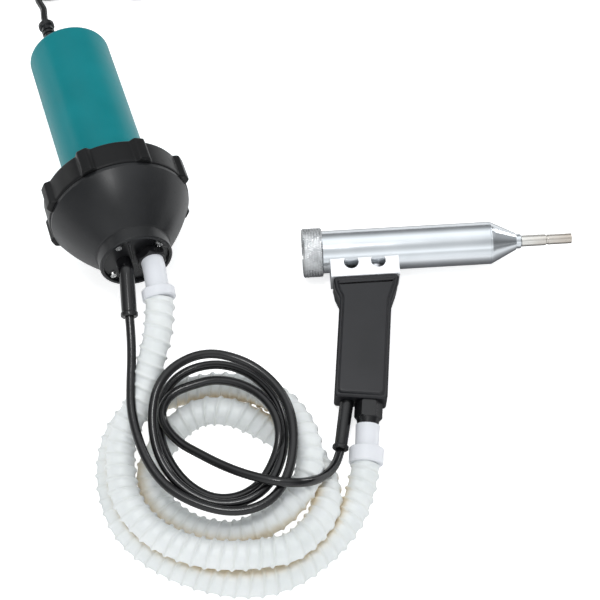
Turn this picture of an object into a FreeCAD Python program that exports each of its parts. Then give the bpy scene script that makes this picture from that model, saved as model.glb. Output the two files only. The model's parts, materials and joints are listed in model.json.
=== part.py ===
"""Hot-air torch for welding plastic, with its separate blower, air hose and cables. Millimetres, +Z up.

The set lies on a flat surface at z = 0. The blower rests on its union ring and its far rim, and the torch
on its knurled cap and the hose collar. The row's origin is under the middle of blower and torch.
"""
import FreeCAD, Part
import math
import os

V = FreeCAD.Vector
os.makedirs("parts", exist_ok=True)

# ---- clearances -----------------------------------------------------------------------------------
SEAT = 0.05        # between pieces that seat in each other
FIT = 0.25         # between pieces that slide together in assembly
RUN = 0.05         # radial, at a bearing or a turning pin
AIR = 0.5          # between the rotor and what stands still

# ---- blower, measured along its axis s from the far end --------------------------------------------
HANDLE_R = 32.0
HANDLE_WALL = 2.5
HANDLE_END = 3.0
RIM_FILLET = 5.0
RING_S = 150.0
RING_WIDTH = 21.0
LUG_COUNT = 8
LUG_ANGLE = 17.0
RING_CHAMFER = 1.5
RING_LIP = 3.0
THREAD_R = 49.2
RING_LIP_R = THREAD_R - 4.2
RING_R = THREAD_R + 3.5
LUG_R = RING_R + 2.5
WASHER_T = 0.6
FLANGE_T = 4.0
HOUSING_WALL = 2.5
CONE_R = THREAD_R + 2.8
CONE_END = 209.0
BOSS_R = 26.9
BLOWER_LENGTH = 220.0
PLATE_RECESS = 2.5
PLATE_T = 3.5
PLATE_LEDGE = 5.0
SCREW_R = 1.5
SCREW_HEAD_R = 2.9
SCREW_CIRCLE = 21.3
OUTLET = (1.0, -10.5)
CABLE_EXIT = (1.4, 9.0)
MAINS_EXIT = (12.0, 10.5)

# ---- motor -----------------------------------------------------------------------------------------
SHAFT_R = 3.0
BEARING_R = 9.5
BEARING_W = 7.0
BRACKET_S = 50.0
BRACKET_T = 3.0
BOSS_WALL = 3.0
COMMUTATOR_R = 11.0
COMMUTATOR_W = 14.0
ARMATURE_R = 17.5
ARMATURE_W = 38.0
STATOR_R = HANDLE_R - HANDLE_WALL - 0.3
COIL_R = (STATOR_R - 3.2, ARMATURE_R + 2.5)
COIL_SPAN = 124.0
COIL_SIDE = 14.0
COIL_MIDDLES = (0.0, 180.0)
COIL_END = 6.0
BRUSH_W = 6.0
BRUSH_WALL = 1.5
IMPELLER_R = THREAD_R - HOUSING_WALL - 3.7
SECOND_IMPELLER_R = IMPELLER_R - 6.0
IMPELLER_W = 8.0
BLADE_COUNT = 9

# ---- torch, measured along its barrel x from the back of the cap ------------------------------------
CAP_R = 18.7
CAP_LENGTH = 13.4
CAP_TEETH = 44
TOOTH_DEPTH = 0.7
COVER_AT = 6.0
COVER_T = 2.0
BARREL_R = 16.2
BARREL_WALL = 1.2
BARREL_END = 143.5
CONE_TIP = 159.6
NECK_R = 5.9
NECK_END = 165.4
SPIGOT_R = 3.2
SPIGOT_LENGTH = 13.6
NOZZLE_GAP = 0.3
NOZZLE_R = 4.3
GROOVE_R = 3.5
GROOVE_W = 1.4
TIP_R = 3.9
TIP_LENGTH = 18.0
NOZZLE_END = 204.3
NOZZLE_BORE_R = 2.4
BRACKET_X = 19.5
BRACKET_LENGTH = 50.3
BRACKET_HALF = 11.5
BRACKET_WALL = 2.0
BRACKET_DEPTH = 26.5
BRACKET_HOLE_R = 5.0
BRACKET_HOLE_UP = 10.0
HEAD_DEPTH = 10.0
HEAD_TAPER = (1.2, 3.2)
GRIP_HALF = 11.5
GRIP_WALL = 2.4
PANEL_HEIGHT = 1.8
PANEL_INSET = 4.0
PANEL_BEVEL = 2.0
GRIP_WIDTH = 38.5
GRIP_RAKE = 7.3
GRIP_TOP = (42.75, -44.0)
GRIP_LENGTH = 79.5
DUCT_U = 6.2
DUCT_R = 6.0
DUCT_WALL = 0.8
TORCH_BOOT_U = -9.8
NUT_ACROSS = 20.5
NUT_LENGTH = 17.5
SLEEVE_R = 8.75
SLEEVE_LENGTH = 17.0
COLLAR_R = 12.5
COLLAR_LENGTH = 12.0
HEATER_R = 11.0
HEATER_X = (40.0, 128.0)

# ---- cords -----------------------------------------------------------------------------------------
HOSE_D = 22.0
CABLE_D = 6.6
MAINS_D = 5.4

# ---- how the two lie -------------------------------------------------------------------------------
BLOWER_AT = (-182.6, 159.0)
BLOWER_HEADING = 18.4
TORCH_AT = (7.4, -15.9)
TORCH_HEADING = 3.67


# ---- shapes ----------------------------------------------------------------------------------------
def cylinder(r, z0, z1, x=0.0, y=0.0):
    return Part.makeCylinder(r, z1 - z0, V(x, y, z0))


def sleeve(r_out, r_in, z0, z1, x=0.0, y=0.0):
    return cylinder(r_out, z0, z1, x, y).cut(cylinder(r_in, z0 - 1, z1 + 1, x, y))


def block(x, y, z):
    """A box from its three pairs of limits."""
    return Part.makeBox(x[1] - x[0], y[1] - y[0], z[1] - z[0], V(x[0], y[0], z[0]))


def turned(points):
    """A solid of revolution about Z from a closed outline of (radius, z); ("arc", middle, end) is an arc."""
    def at(point):
        return V(point[0], 0, point[1])

    edges, here = [], points[0]
    for item in points[1:] + [points[0]]:
        if item[0] == "arc":
            mid, end = item[1], item[2]
            edges.append(Part.Arc(at(here), at(mid), at(end)).toShape())
            here = end
        else:
            edges.append(Part.LineSegment(at(here), at(item)).toShape())
            here = item
    return Part.Face(Part.Wire(edges)).revolve(V(0, 0, 0), V(0, 0, 1), 360)


def sector(r_out, r_in, z0, z1, start, sweep):
    """A stretch of a sleeve, from the angle start over sweep, in degrees."""
    piece = Part.makeCylinder(r_out, z1 - z0, V(0, 0, z0), V(0, 0, 1), sweep)
    piece.rotate(V(0, 0, 0), V(0, 0, 1), start)
    return piece.cut(cylinder(r_in, z0 - 1, z1 + 1))


def turned_copy(shape, angle, axis=V(0, 0, 1), about=V(0, 0, 0)):
    copy = shape.copy()
    copy.rotate(about, axis, angle)
    return copy


def pattern(shape, count, start=0.0):
    return [turned_copy(shape, start + 360.0 * i / count) for i in range(count)]


def moved(shape, x, y, z):
    copy = shape.copy()
    copy.translate(V(x, y, z))
    return copy


def joined(shapes):
    return shapes[0].fuse(shapes[1:]).removeSplitter()


def hexagon(across, z0, z1, x=0.0, y=0.0):
    """A hexagonal prism, across its corners."""
    angles = [math.radians(60 * i) for i in range(6)]
    return prism([(x + across / 2 * math.cos(a), y + across / 2 * math.sin(a)) for a in angles], z0, z1)


def prism(points, z0, z1):
    corners = [V(x, y, z0) for x, y in points]
    return Part.Face(Part.makePolygon(corners + corners[:1])).extrude(V(0, 0, z1 - z0))


def route(points):
    """Straight runs joined by tangent arcs, each as large as its two runs allow. Returns wire, length, radii."""
    corners, edges, radii = [V(*p) for p in points], [], []
    here = corners[0]
    for before, corner, after in zip(corners, corners[1:], corners[2:]):
        back, on = (before - corner), (after - corner)
        shorter = min(back.Length, on.Length)
        back.normalize()
        on.normalize()
        turn = math.pi - back.getAngle(on)
        cut = 0.45 * shorter
        radius = cut / math.tan(turn / 2)
        start, end = corner + back * cut, corner + on * cut
        inward = (back + on)
        inward.normalize()
        middle = corner + inward * (radius / math.cos(turn / 2) - radius)
        edges += [Part.LineSegment(here, start).toShape(), Part.Arc(start, middle, end).toShape()]
        radii.append(radius)
        here = end
    edges.append(Part.LineSegment(here, corners[-1]).toShape())
    wire = Part.Wire(edges)
    return wire, wire.Length, radii


def swept(wire, radius):
    first = wire.Edges[0]
    start = first.valueAt(first.FirstParameter)
    heading = first.tangentAt(first.FirstParameter)
    ring = Part.Wire([Part.Circle(start, heading, radius).toShape()])
    return wire.makePipeShell([ring], True, False)


def tube(name, points, diameter):
    wire, length, radii = route(points)
    solid = swept(wire, diameter / 2)
    share = solid.Volume / (math.pi * diameter ** 2 / 4 * length)
    print(f"{name}: {length:.0f} mm, radii {[round(r) for r in radii]}, volume share {share:.4f}")
    return solid


# ---- where the blower and the torch lie --------------------------------------------------------------
def frame_of(x_axis, y_axis, z_axis, origin):
    m = FreeCAD.Matrix(x_axis.x, y_axis.x, z_axis.x, origin.x, x_axis.y, y_axis.y, z_axis.y, origin.y,
                       x_axis.z, y_axis.z, z_axis.z, origin.z, 0, 0, 0, 1)
    return FreeCAD.Placement(m)


def blower_frame():
    """Local Z runs from the far end to the outlet, local X is up and local Y is left.

    The tilt puts the far rim's fillet and the union ring's edge on the surface at once."""
    reach = RING_S + RING_CHAMFER - RIM_FILLET
    drop = LUG_R - (HANDLE_R - RIM_FILLET)
    tilt = math.atan2(drop, reach) - math.asin(RIM_FILLET / math.hypot(reach, drop))
    head = math.radians(BLOWER_HEADING)
    z_axis = V(math.sin(head) * math.cos(tilt), -math.cos(head) * math.cos(tilt), math.sin(tilt))
    y_axis = V(-math.cos(head), -math.sin(head), 0)
    height = (HANDLE_R - RIM_FILLET) * math.cos(tilt) + RIM_FILLET - RIM_FILLET * math.sin(tilt)
    return frame_of(y_axis.cross(z_axis), y_axis, z_axis, V(BLOWER_AT[0], BLOWER_AT[1], height))


def torch_frame():
    """Local X runs along the barrel, local Y points away from the grip and local Z is up, bar a small roll.

    The roll lets the hose collar down to the surface that the cap lies on."""
    collar_far = -GRIP_TOP[1] + (GRIP_LENGTH + NUT_LENGTH + SLEEVE_LENGTH + COLLAR_LENGTH) * math.cos(
        math.radians(GRIP_RAKE))
    roll = math.asin((CAP_R - COLLAR_R) / collar_far)
    head = math.radians(TORCH_HEADING)
    x_axis = V(math.cos(head), math.sin(head), 0)
    side = V(-math.sin(head), math.cos(head), 0)
    y_axis = side * math.cos(roll) + V(0, 0, 1) * math.sin(roll)
    return frame_of(x_axis, y_axis, x_axis.cross(y_axis), V(TORCH_AT[0], TORCH_AT[1], CAP_R))


BLOWER = blower_frame()
TORCH = torch_frame()
ALONG_X = FreeCAD.Placement(V(0, 0, 0), FreeCAD.Rotation(V(0, 1, 0), 90))
GRIP = FreeCAD.Placement(V(GRIP_TOP[0], GRIP_TOP[1], 0), FreeCAD.Rotation(V(0, 0, 1), -GRIP_RAKE))
DOWN_GRIP = FreeCAD.Placement(V(0, 0, 0), FreeCAD.Rotation(V(1, 0, 0), 90))   # local Z to the foot, -Y


def placed(shape, *places):
    """The shape after each placement in turn, the innermost first."""
    copy = shape.copy()
    whole = FreeCAD.Placement()
    for place in places:
        whole = place.multiply(whole)
    copy.transformShape(whole.toMatrix())
    return copy


def save(name, shape, *places):
    solid = placed(shape, *places) if places else shape
    if len(solid.Solids) == 1:
        solid = solid.Solids[0]
    solid.exportStep(f"parts/{name}.step")
    return solid


# ---- blower: casing ----------------------------------------------------------------------------------
FLANGE_S = RING_S + RING_LIP + WASHER_T
HOUSING_S = FLANGE_S + FLANGE_T
RING_END = RING_S + RING_WIDTH
PLATE_S = BLOWER_LENGTH - PLATE_RECESS
LEDGE_S = PLATE_S - PLATE_T
PLATE_R = BOSS_R - HOUSING_WALL - FIT
LEDGE_R = SCREW_CIRCLE - SCREW_R - 1.3
HANDLE_IN = HANDLE_R - HANDLE_WALL
ROCKER_AT = (-8.0, -8.0)
ROCKER_FRAME = (15.0, 21.0)
ROCKER_CUTOUT = (12.4, 18.4)
FRAME_FLANGE = 1.5
FRAME_DEPTH = 12.0
ROCKER_GAP = 0.4
ROCKER_TILT = 7.0


def rectangle(size, z0, z1, at=(0.0, 0.0)):
    return block((at[0] - size[0] / 2, at[0] + size[0] / 2), (at[1] - size[1] / 2, at[1] + size[1] / 2), (z0, z1))


def motor_housing():
    k = RIM_FILLET * (1 - math.sqrt(0.5))
    shell = turned([(0, 0), (HANDLE_R - RIM_FILLET, 0),
                    ("arc", (HANDLE_R - k, k), (HANDLE_R, RIM_FILLET)),
                    (HANDLE_R, FLANGE_S), (HANDLE_IN, FLANGE_S), (HANDLE_IN, RIM_FILLET),
                    (HANDLE_R - RIM_FILLET, HANDLE_END), (0, HANDLE_END)])
    shell = shell.cut(rectangle(ROCKER_CUTOUT, -1, HANDLE_END + 1, ROCKER_AT))
    return shell.cut(cylinder(MAINS_D / 2 + FIT, -1, HANDLE_END + 1, *MAINS_EXIT))


def rocker_frame():
    outer = rectangle(ROCKER_FRAME, -FRAME_FLANGE, 0, ROCKER_AT)
    body = rectangle([c - 2 * SEAT for c in ROCKER_CUTOUT], 0, FRAME_DEPTH, ROCKER_AT)
    well = rectangle([c - 3.0 for c in ROCKER_CUTOUT], -FRAME_FLANGE - 1, FRAME_DEPTH - 3, ROCKER_AT)
    frame = outer.fuse(body).removeSplitter().cut(well)
    lead_tabs = [block((ROCKER_AT[0] - 3, ROCKER_AT[0] + 3), (ROCKER_AT[1] + t - 0.4, ROCKER_AT[1] + t + 0.4),
                       (FRAME_DEPTH, FRAME_DEPTH + 7)) for t in (-5.0, 5.0)]
    return joined([frame] + lead_tabs)


def rocker():
    """A paddle with a V-shaped face that tips about a pin across the frame, drawn with its off side down."""
    half = (ROCKER_CUTOUT[1] - 3.0) / 2 - ROCKER_GAP
    width = ROCKER_CUTOUT[0] - 3.0 - 2 * ROCKER_GAP
    rise, crown, depth = 2.6, 1.0, 3.6
    side = [V(0, -half, -rise), V(0, 0, -crown), V(0, half, -rise), V(0, half - 1.2, 1.0), V(0, 0, depth),
            V(0, 1.2 - half, 1.0)]
    paddle = Part.Face(Part.makePolygon(side + side[:1])).extrude(V(width, 0, 0))
    paddle.translate(V(-width / 2, 0, 0))
    paddle.rotate(V(0, 0, 0), V(1, 0, 0), -ROCKER_TILT)
    return moved(paddle, ROCKER_AT[0], ROCKER_AT[1], 0)


def union_ring():
    c, lip = RING_CHAMFER, RING_S + RING_LIP
    body = turned([(RING_LIP_R, RING_S), (LUG_R - c, RING_S), (LUG_R, RING_S + c), (LUG_R, RING_END - c),
                   (LUG_R - c, RING_END), (THREAD_R + FIT + 0.1, RING_END), (THREAD_R + FIT + 0.1, lip),
                   (RING_LIP_R, lip)])
    gap = 360.0 / LUG_COUNT - LUG_ANGLE
    notch = sector(LUG_R + 5, RING_R, RING_S - 1, RING_END + 1, LUG_ANGLE / 2, gap)
    return body.cut(pattern(notch, LUG_COUNT))


def slip_washer():
    return sleeve(THREAD_R - 0.7, RING_LIP_R + FIT, RING_S + RING_LIP, FLANGE_S)


SLOT_COUNT = 14
SLOT_WIDTH = 6.7
SLOT_MIDDLE = (HANDLE_R + THREAD_R) / 2 - 2.25
SLOT_R = (SLOT_MIDDLE - SLOT_WIDTH / 2, SLOT_MIDDLE + SLOT_WIDTH / 2)
FRONT_BEARING_S = FLANGE_S - 6.5


def motor_flange():
    """Closes the handle, carries the front bearing and lets air in through a ring of slots."""
    plate = cylinder(THREAD_R - 0.6, FLANGE_S, HOUSING_S)
    spigot = sleeve(HANDLE_IN - FIT, HANDLE_IN - FIT - 2.5, FLANGE_S - 6, FLANGE_S)
    boss = cylinder(BEARING_R + BOSS_WALL, FRONT_BEARING_S - 2.5, FLANGE_S)
    flange = joined([plate, spigot, boss])
    flange = flange.cut(cylinder(BEARING_R + SEAT, FRONT_BEARING_S, HOUSING_S + 1))
    flange = flange.cut(cylinder(SHAFT_R + AIR, FRONT_BEARING_S - 4, FRONT_BEARING_S + 1))
    slot = sector(SLOT_R[1], SLOT_R[0], FLANGE_S - 1, HOUSING_S + 1, 0, 360.0 / SLOT_COUNT - 8)
    vent = sector(HANDLE_IN - 6.5, BEARING_R + BOSS_WALL + 2, FLANGE_S - 1, HOUSING_S + 1, 0, 60)
    return flange.cut(pattern(slot, SLOT_COUNT) + pattern(vent, 4))


def filter_screen():
    return sleeve(SLOT_R[1] + 2.5, SLOT_R[0] - 1.5, HOUSING_S + SEAT, HOUSING_S + SEAT + 0.6)


def filter_foam():
    base = HOUSING_S + 2 * SEAT + 0.6
    return sleeve(SLOT_R[1] + 2.5, SLOT_R[0] - 1.5, base, base + 3.5)


def fan_housing():
    """Threaded rim, slightly bulged cone and boss, all one wall, with a ledge for the end plate."""
    w, start = HOUSING_WALL, RING_END + 0.3
    cone_mid = ((CONE_R + BOSS_R + 1.2) / 2 + 1.6, (start + 2 + CONE_END) / 2 + 0.8)
    inner_mid = (cone_mid[0] - w * 0.85, cone_mid[1] - w * 0.55)
    return turned([(THREAD_R, HOUSING_S), (THREAD_R, start), (CONE_R, start), (CONE_R, start + 2.5),
                   ("arc", cone_mid, (BOSS_R + 1.2, CONE_END)), (BOSS_R, CONE_END + 0.8),
                   (BOSS_R, BLOWER_LENGTH - 0.8), (BOSS_R - 0.8, BLOWER_LENGTH), (BOSS_R - w, BLOWER_LENGTH),
                   (BOSS_R - w, LEDGE_S), (LEDGE_R, LEDGE_S), (LEDGE_R, LEDGE_S - PLATE_LEDGE),
                   (BOSS_R - w, LEDGE_S - PLATE_LEDGE - 2),
                   ("arc", inner_mid, (CONE_R - w, start + 2.5)), (THREAD_R - w, start), (THREAD_R - w, HOUSING_S)])


SCREW_ANGLES = [28.5 + 90 * i for i in range(4)]


def screw_places():
    return [(SCREW_CIRCLE * math.cos(math.radians(a)), SCREW_CIRCLE * math.sin(math.radians(a)))
            for a in SCREW_ANGLES]


def end_plate():
    plate = cylinder(PLATE_R, LEDGE_S, PLATE_S)
    web = block((-2.0, PLATE_R - 1.5), (1.3, 2.7), (PLATE_S - 1, BLOWER_LENGTH - 0.6))
    plate = plate.fuse(web).removeSplitter()
    holes = [cylinder(SPIGOT_TUBE_R + SEAT, LEDGE_S - 1, PLATE_S + 1, *OUTLET)]
    holes += [cylinder(SCREW_R + SEAT, LEDGE_S - 1, PLATE_S + 1, x, y) for x, y in screw_places()]
    return plate.cut(holes)


def screw(length, head_r, head_h, r, slot=0.8):
    """A pan-head screw, head above z = 0 and shank below, with a cross recess."""
    head = Part.makeCone(head_r, head_r * 0.72, head_h)
    shank = cylinder(r, -length, 0.1)
    recess = [block((-head_r * 0.6, head_r * 0.6), (-slot / 2, slot / 2), (head_h * 0.45, head_h + 1)),
              block((-slot / 2, slot / 2), (-head_r * 0.6, head_r * 0.6), (head_h * 0.45, head_h + 1))]
    return joined([head, shank]).cut(recess)


def plate_screws():
    one = screw(PLATE_T, SCREW_HEAD_R, 1.9, SCREW_R - SEAT)
    return Part.makeCompound([moved(one, x, y, PLATE_S) for x, y in screw_places()])


# ---- blower: outlets ---------------------------------------------------------------------------------
SPIGOT_TUBE_R = 5.9
CUFF_R = 8.3
CUFF_BORE = SPIGOT_TUBE_R + 0.1
CUFF_NUT_LENGTH = 7.5
CUFF_NUT_ACROSS = 23.0
CUFF_NUT_NECK = 2.2
CUFF_SLEEVE = 30.0
CUFF_COLLAR_R = 12.0
CUFF_COLLAR = 8.0
BOOT_R = 5.5
BOOT_COLLAR_R = 6.2
BOOT_LENGTH = 44.0
BOOT_COLLAR = 4.0


def local_heading(heading, rise):
    """A direction over the surface, from heading and rise in degrees, in the blower's own frame."""
    h, e = math.radians(heading), math.radians(rise)
    world = V(math.sin(h) * math.cos(e), -math.cos(h) * math.cos(e), math.sin(e))
    return BLOWER.Rotation.inverted().multVec(world)


def bent_path(at, base, straight, heading, rise, length):
    """A short straight stretch along the axis, then a bend towards a direction over the surface."""
    foot = V(at[0], at[1], base)
    elbow = foot + V(0, 0, straight)
    end = elbow + local_heading(heading, rise) * (length - straight)
    return [tuple(foot), tuple(elbow), tuple(end)]


CUFF_PATH = bent_path(OUTLET, PLATE_S, CUFF_NUT_LENGTH + 5.0, 11.0, -6.0, CUFF_SLEEVE + CUFF_COLLAR)
BOOT_PATH = bent_path(CABLE_EXIT, PLATE_S, 9.0, 5.5, -10.0, BOOT_LENGTH)


def flared(path, r, bore, collar_r, collar_length):
    """A bent sleeve that ends in a wider collar."""
    body = swept(route(path)[0], r)
    end, before = V(*path[-1]), V(*path[-2])
    heading = end - before
    heading.normalize()
    collar = Part.makeCylinder(collar_r, collar_length, end - heading * collar_length, heading)
    collar = collar.makeChamfer(0.8, [e for e in collar.Edges if e.Curve.TypeId == "Part::GeomCircle"])
    whole = joined([body, collar])
    return whole.cut(swept(route(path)[0], bore)) if bore else whole


def outlet_nut():
    """Hexagonal gland on a round neck that clears the screw heads, chamfered at its outer end."""
    end = PLATE_S + CUFF_NUT_LENGTH
    half = CUFF_NUT_ACROSS / 2
    nut = hexagon(CUFF_NUT_ACROSS, PLATE_S + CUFF_NUT_NECK, end, *OUTLET)
    taper = moved(Part.makeCone(half + 6, half - 1.5, CUFF_NUT_LENGTH), OUTLET[0], OUTLET[1], PLATE_S)
    limit = cylinder(PLATE_R - 0.3, PLATE_S - 1, BLOWER_LENGTH + 20)
    neck = cylinder(CUFF_R + 0.8, PLATE_S, PLATE_S + CUFF_NUT_NECK, *OUTLET)
    nut = joined([nut.common(taper).common(limit), neck])
    return nut.cut(cylinder(CUFF_R + SEAT, PLATE_S - 1, end + 1, *OUTLET))


def outlet_spigot():
    return sleeve(SPIGOT_TUBE_R, SPIGOT_TUBE_R - 1.1, LEDGE_S - 4, PLATE_S + CUFF_NUT_LENGTH, *OUTLET).fuse(
        sleeve(SPIGOT_TUBE_R + 1.5, SPIGOT_TUBE_R - 1.1, LEDGE_S - 2, LEDGE_S, *OUTLET)).removeSplitter()


MAINS_BOOT = [28.0, 4.7, 6.3, 5.0]      # length, radius, bead radius, bead length


def mains_boot():
    """Moulded strain relief with four grooves and a rounded bead at its free end."""
    length, r, bead_r, bead = MAINS_BOOT
    side = [(0, 0), (r + 0.4, 0)]
    for i in range(4):
        side += [(r + 0.3, 5 + 4 * i), (r - 0.9, 5 + 4 * i), (r - 0.9, 6.6 + 4 * i), (r + 0.3, 6.6 + 4 * i)]
    side += [(r, length - bead), (bead_r - 1.2, length - bead), (bead_r, length - bead + 1.2),
             (bead_r, length - 1.2), (bead_r - 1.2, length), (0, length)]
    boot = turned(side)
    boot.rotate(V(0, 0, 0), V(1, 0, 0), 180)
    return moved(boot, MAINS_EXIT[0], MAINS_EXIT[1], 0)


# ---- blower: motor and fan -----------------------------------------------------------------------------
REAR_BEARING_S = BRACKET_S + BRACKET_T
COMMUTATOR_S = REAR_BEARING_S + BEARING_W + 2.5
ARMATURE_S = COMMUTATOR_S + COMMUTATOR_W + 4.0
FAN_S = HOUSING_S + 5.5
DIFFUSER_S = FAN_S + IMPELLER_W + 1.0
DIFFUSER_T = 2.5
SECOND_FAN_S = DIFFUSER_S + DIFFUSER_T + 1.0
SHAFT_END = SECOND_FAN_S + IMPELLER_W + 3.0


def motor_end_bracket():
    rim = sleeve(HANDLE_IN - FIT, HANDLE_IN - FIT - 3, BRACKET_S, BRACKET_S + 8)
    spokes = [block((BEARING_R + 1, HANDLE_IN - 2), (-3.5, 3.5), (BRACKET_S, BRACKET_S + BRACKET_T))]
    boss = cylinder(BEARING_R + BOSS_WALL, BRACKET_S, REAR_BEARING_S + BEARING_W)
    bracket = joined([rim, boss] + pattern(spokes[0], 4))
    return bracket.cut([cylinder(BEARING_R + SEAT, REAR_BEARING_S, REAR_BEARING_S + BEARING_W + 1),
                        cylinder(SHAFT_R + AIR, BRACKET_S - 1, REAR_BEARING_S + 1)])


def bearing(s):
    ring = sleeve(BEARING_R, SHAFT_R + RUN, s, s + BEARING_W)
    groove = sleeve(BEARING_R - 1.8, SHAFT_R + 2.0, s - 1, s + 0.6)
    return ring.cut([groove, moved(groove, 0, 0, BEARING_W + 0.4)])


def motor_shaft():
    return turned([(0, BRACKET_S + 0.5), (SHAFT_R - 0.4, BRACKET_S + 0.5), (SHAFT_R, BRACKET_S + 0.9),
                   (SHAFT_R, SHAFT_END - 0.4), (SHAFT_R - 0.4, SHAFT_END), (0, SHAFT_END)])


def commutator():
    drum = sleeve(COMMUTATOR_R, SHAFT_R, COMMUTATOR_S, COMMUTATOR_S + COMMUTATOR_W)
    slit = block((COMMUTATOR_R - 1.2, COMMUTATOR_R + 1), (-0.25, 0.25), (COMMUTATOR_S - 1, COMMUTATOR_S + 11))
    return drum.cut(pattern(slit, 12))


def armature_core():
    core = sleeve(ARMATURE_R, SHAFT_R, ARMATURE_S, ARMATURE_S + ARMATURE_W)
    slot = block((ARMATURE_R - 5, ARMATURE_R + 1), (-1.2, 1.2), (ARMATURE_S - 1, ARMATURE_S + ARMATURE_W + 1))
    heads = [sleeve(ARMATURE_R - 2.5, SHAFT_R, ARMATURE_S - 3.5, ARMATURE_S),
             sleeve(ARMATURE_R - 2.5, SHAFT_R, ARMATURE_S + ARMATURE_W, ARMATURE_S + ARMATURE_W + 3.5)]
    return joined([core.cut(pattern(slot, 12))] + heads)


def coil_windows(gap):
    """The slots that the field coils lie in, wider by gap."""
    a = math.degrees(gap / 22)
    return [sector(26.0 + gap, 20.0 - gap, ARMATURE_S - 1, ARMATURE_S + ARMATURE_W + 1, s - a, 14 + 2 * a)
            for s in (-62, 48, 118, 228)]


def stator_core():
    core = sleeve(STATOR_R, ARMATURE_R + AIR, ARMATURE_S, ARMATURE_S + ARMATURE_W)
    return core.cut(coil_windows(0.2))


def field_coils():
    coils = []
    for start in [m - COIL_SPAN / 2 for m in COIL_MIDDLES]:
        outer = sector(*COIL_R, ARMATURE_S - COIL_END, ARMATURE_S + ARMATURE_W + COIL_END, start, COIL_SPAN)
        core = sector(COIL_R[0] + 1, COIL_R[1] - 1, ARMATURE_S - 0.3, ARMATURE_S + ARMATURE_W + 0.3,
                      start + COIL_SIDE, COIL_SPAN - 2 * COIL_SIDE)
        coils.append(outer.cut(core))
    return Part.makeCompound(coils)


BRUSH_S = COMMUTATOR_S + 6.5


def brush_holders():
    half, s = BRUSH_W / 2 + BRUSH_WALL, BRUSH_S
    box = block((COMMUTATOR_R + 1.5, HANDLE_IN - FIT - 0.4), (-half, half), (s - half, s + half))
    bore = BRUSH_W / 2 + 0.1
    well = block((COMMUTATOR_R, HANDLE_IN - 3), (-bore, bore), (s - bore, s + bore))
    return Part.makeCompound(pattern(box.cut(well), 2, 90))


def carbon_brushes():
    half = BRUSH_W / 2
    brush = block((COMMUTATOR_R + 0.3, HANDLE_IN - 8), (-half, half), (BRUSH_S - half, BRUSH_S + half))
    return Part.makeCompound(pattern(brush, 2, 90))


def impeller(r, s, eye_r):
    """Back disc and hub, swept-back blades cut from arcs, and a front shroud with an open eye."""
    hub_r, disc = 8.0, 1.2
    back = cylinder(r, s, s + disc)
    hub = cylinder(hub_r, s, s + IMPELLER_W)
    arc_r = r * 0.62
    strip = sleeve(arc_r + 0.5, arc_r - 0.5, s + disc, s + IMPELLER_W - 1.0, arc_r * 0.62, -arc_r * 0.78)
    half = block((-1.0, r + 5), (-3.0, r + 5), (s, s + IMPELLER_W))
    blade = strip.common(sleeve(r - 0.4, hub_r - 0.5, s, s + IMPELLER_W)).common(half)
    blade = max(blade.Solids, key=lambda b: b.Volume)
    shroud = sleeve(r, eye_r, s + IMPELLER_W - 1.0, s + IMPELLER_W)
    wheel = joined([back, hub, shroud] + pattern(blade, BLADE_COUNT))
    return wheel.cut(cylinder(SHAFT_R, s - 1, s + IMPELLER_W + 1))


def diffuser():
    """The fixed plate between the impellers, with return vanes on its back."""
    plate = sleeve(THREAD_R - HOUSING_WALL - FIT, SHAFT_R + 6, DIFFUSER_S, DIFFUSER_S + 1.2)
    vane = block((14, THREAD_R - HOUSING_WALL - 3), (-0.5, 0.5), (DIFFUSER_S + 1.2, DIFFUSER_S + DIFFUSER_T))
    return joined([plate] + pattern(turned_copy(vane, 20, V(0, 0, 1), V(24, 0, 0)), 8))


# ---- torch: barrel ---------------------------------------------------------------------------------------
BARREL_IN = BARREL_R - BARREL_WALL
BARREL_START = COVER_AT + COVER_T + SEAT
SET_SCREW_X = CAP_LENGTH - 3.6
SET_SCREW_R = 1.5


def set_screw_cylinders(r, r0, r1):
    one = Part.makeCylinder(r, r1 - r0, V(r0, 0, SET_SCREW_X), V(1, 0, 0))
    return pattern(one, 3, 180)


def rear_cap():
    """Knurled ring: straight teeth cut round a chamfered drum, with a ledge that traps the cover."""
    c = 0.9
    drum = turned([(BARREL_R - 1.7, 0), (CAP_R - c, 0), (CAP_R, c), (CAP_R, CAP_LENGTH - c),
                   (CAP_R - c, CAP_LENGTH), (BARREL_R + SEAT, CAP_LENGTH), (BARREL_R + SEAT, COVER_AT),
                   (BARREL_R - 1.7, COVER_AT)])
    pitch = 2 * math.pi * CAP_R / CAP_TEETH
    root = CAP_R - TOOTH_DEPTH
    tooth_gap = prism([(root, 0), (CAP_R + 1, -pitch * 0.42), (CAP_R + 1, pitch * 0.42)], 2.2, CAP_LENGTH - 2.2)
    return drum.cut(pattern(tooth_gap, CAP_TEETH, 4.0)).cut(set_screw_cylinders(SET_SCREW_R + SEAT, 10, 20))


def cap_set_screws():
    screws = []
    for piece in set_screw_cylinders(SET_SCREW_R, BARREL_R + SEAT, CAP_R - 0.9):
        screws.append(piece)
    return Part.makeCompound(screws)


def rear_cover():
    return sleeve(BARREL_R - SEAT, KNOB_STEM_R + 0.4, COVER_AT + SEAT, COVER_AT + COVER_T)


KNOB_R = 8.5
KNOB_STEM_R = 2.9
KNOB_STEM = 12.0


def temperature_knob():
    """Fluted knob with a pointer notch, on a stem that turns in the potentiometer."""
    drum = turned([(0, 0.6), (KNOB_R - 1.0, 0.6), (KNOB_R - 0.2, 1.4), (KNOB_R, COVER_AT - 0.5), (0, COVER_AT - 0.5)])
    flute = cylinder(0.9, 0, COVER_AT, KNOB_R + 0.35, 0)
    notch = block((2.5, KNOB_R + 1), (-0.5, 0.5), (0, 1.2))
    return joined([drum.cut(pattern(flute, 14)).cut(notch), cylinder(KNOB_STEM_R, COVER_AT - 0.6, KNOB_STEM)])


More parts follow.
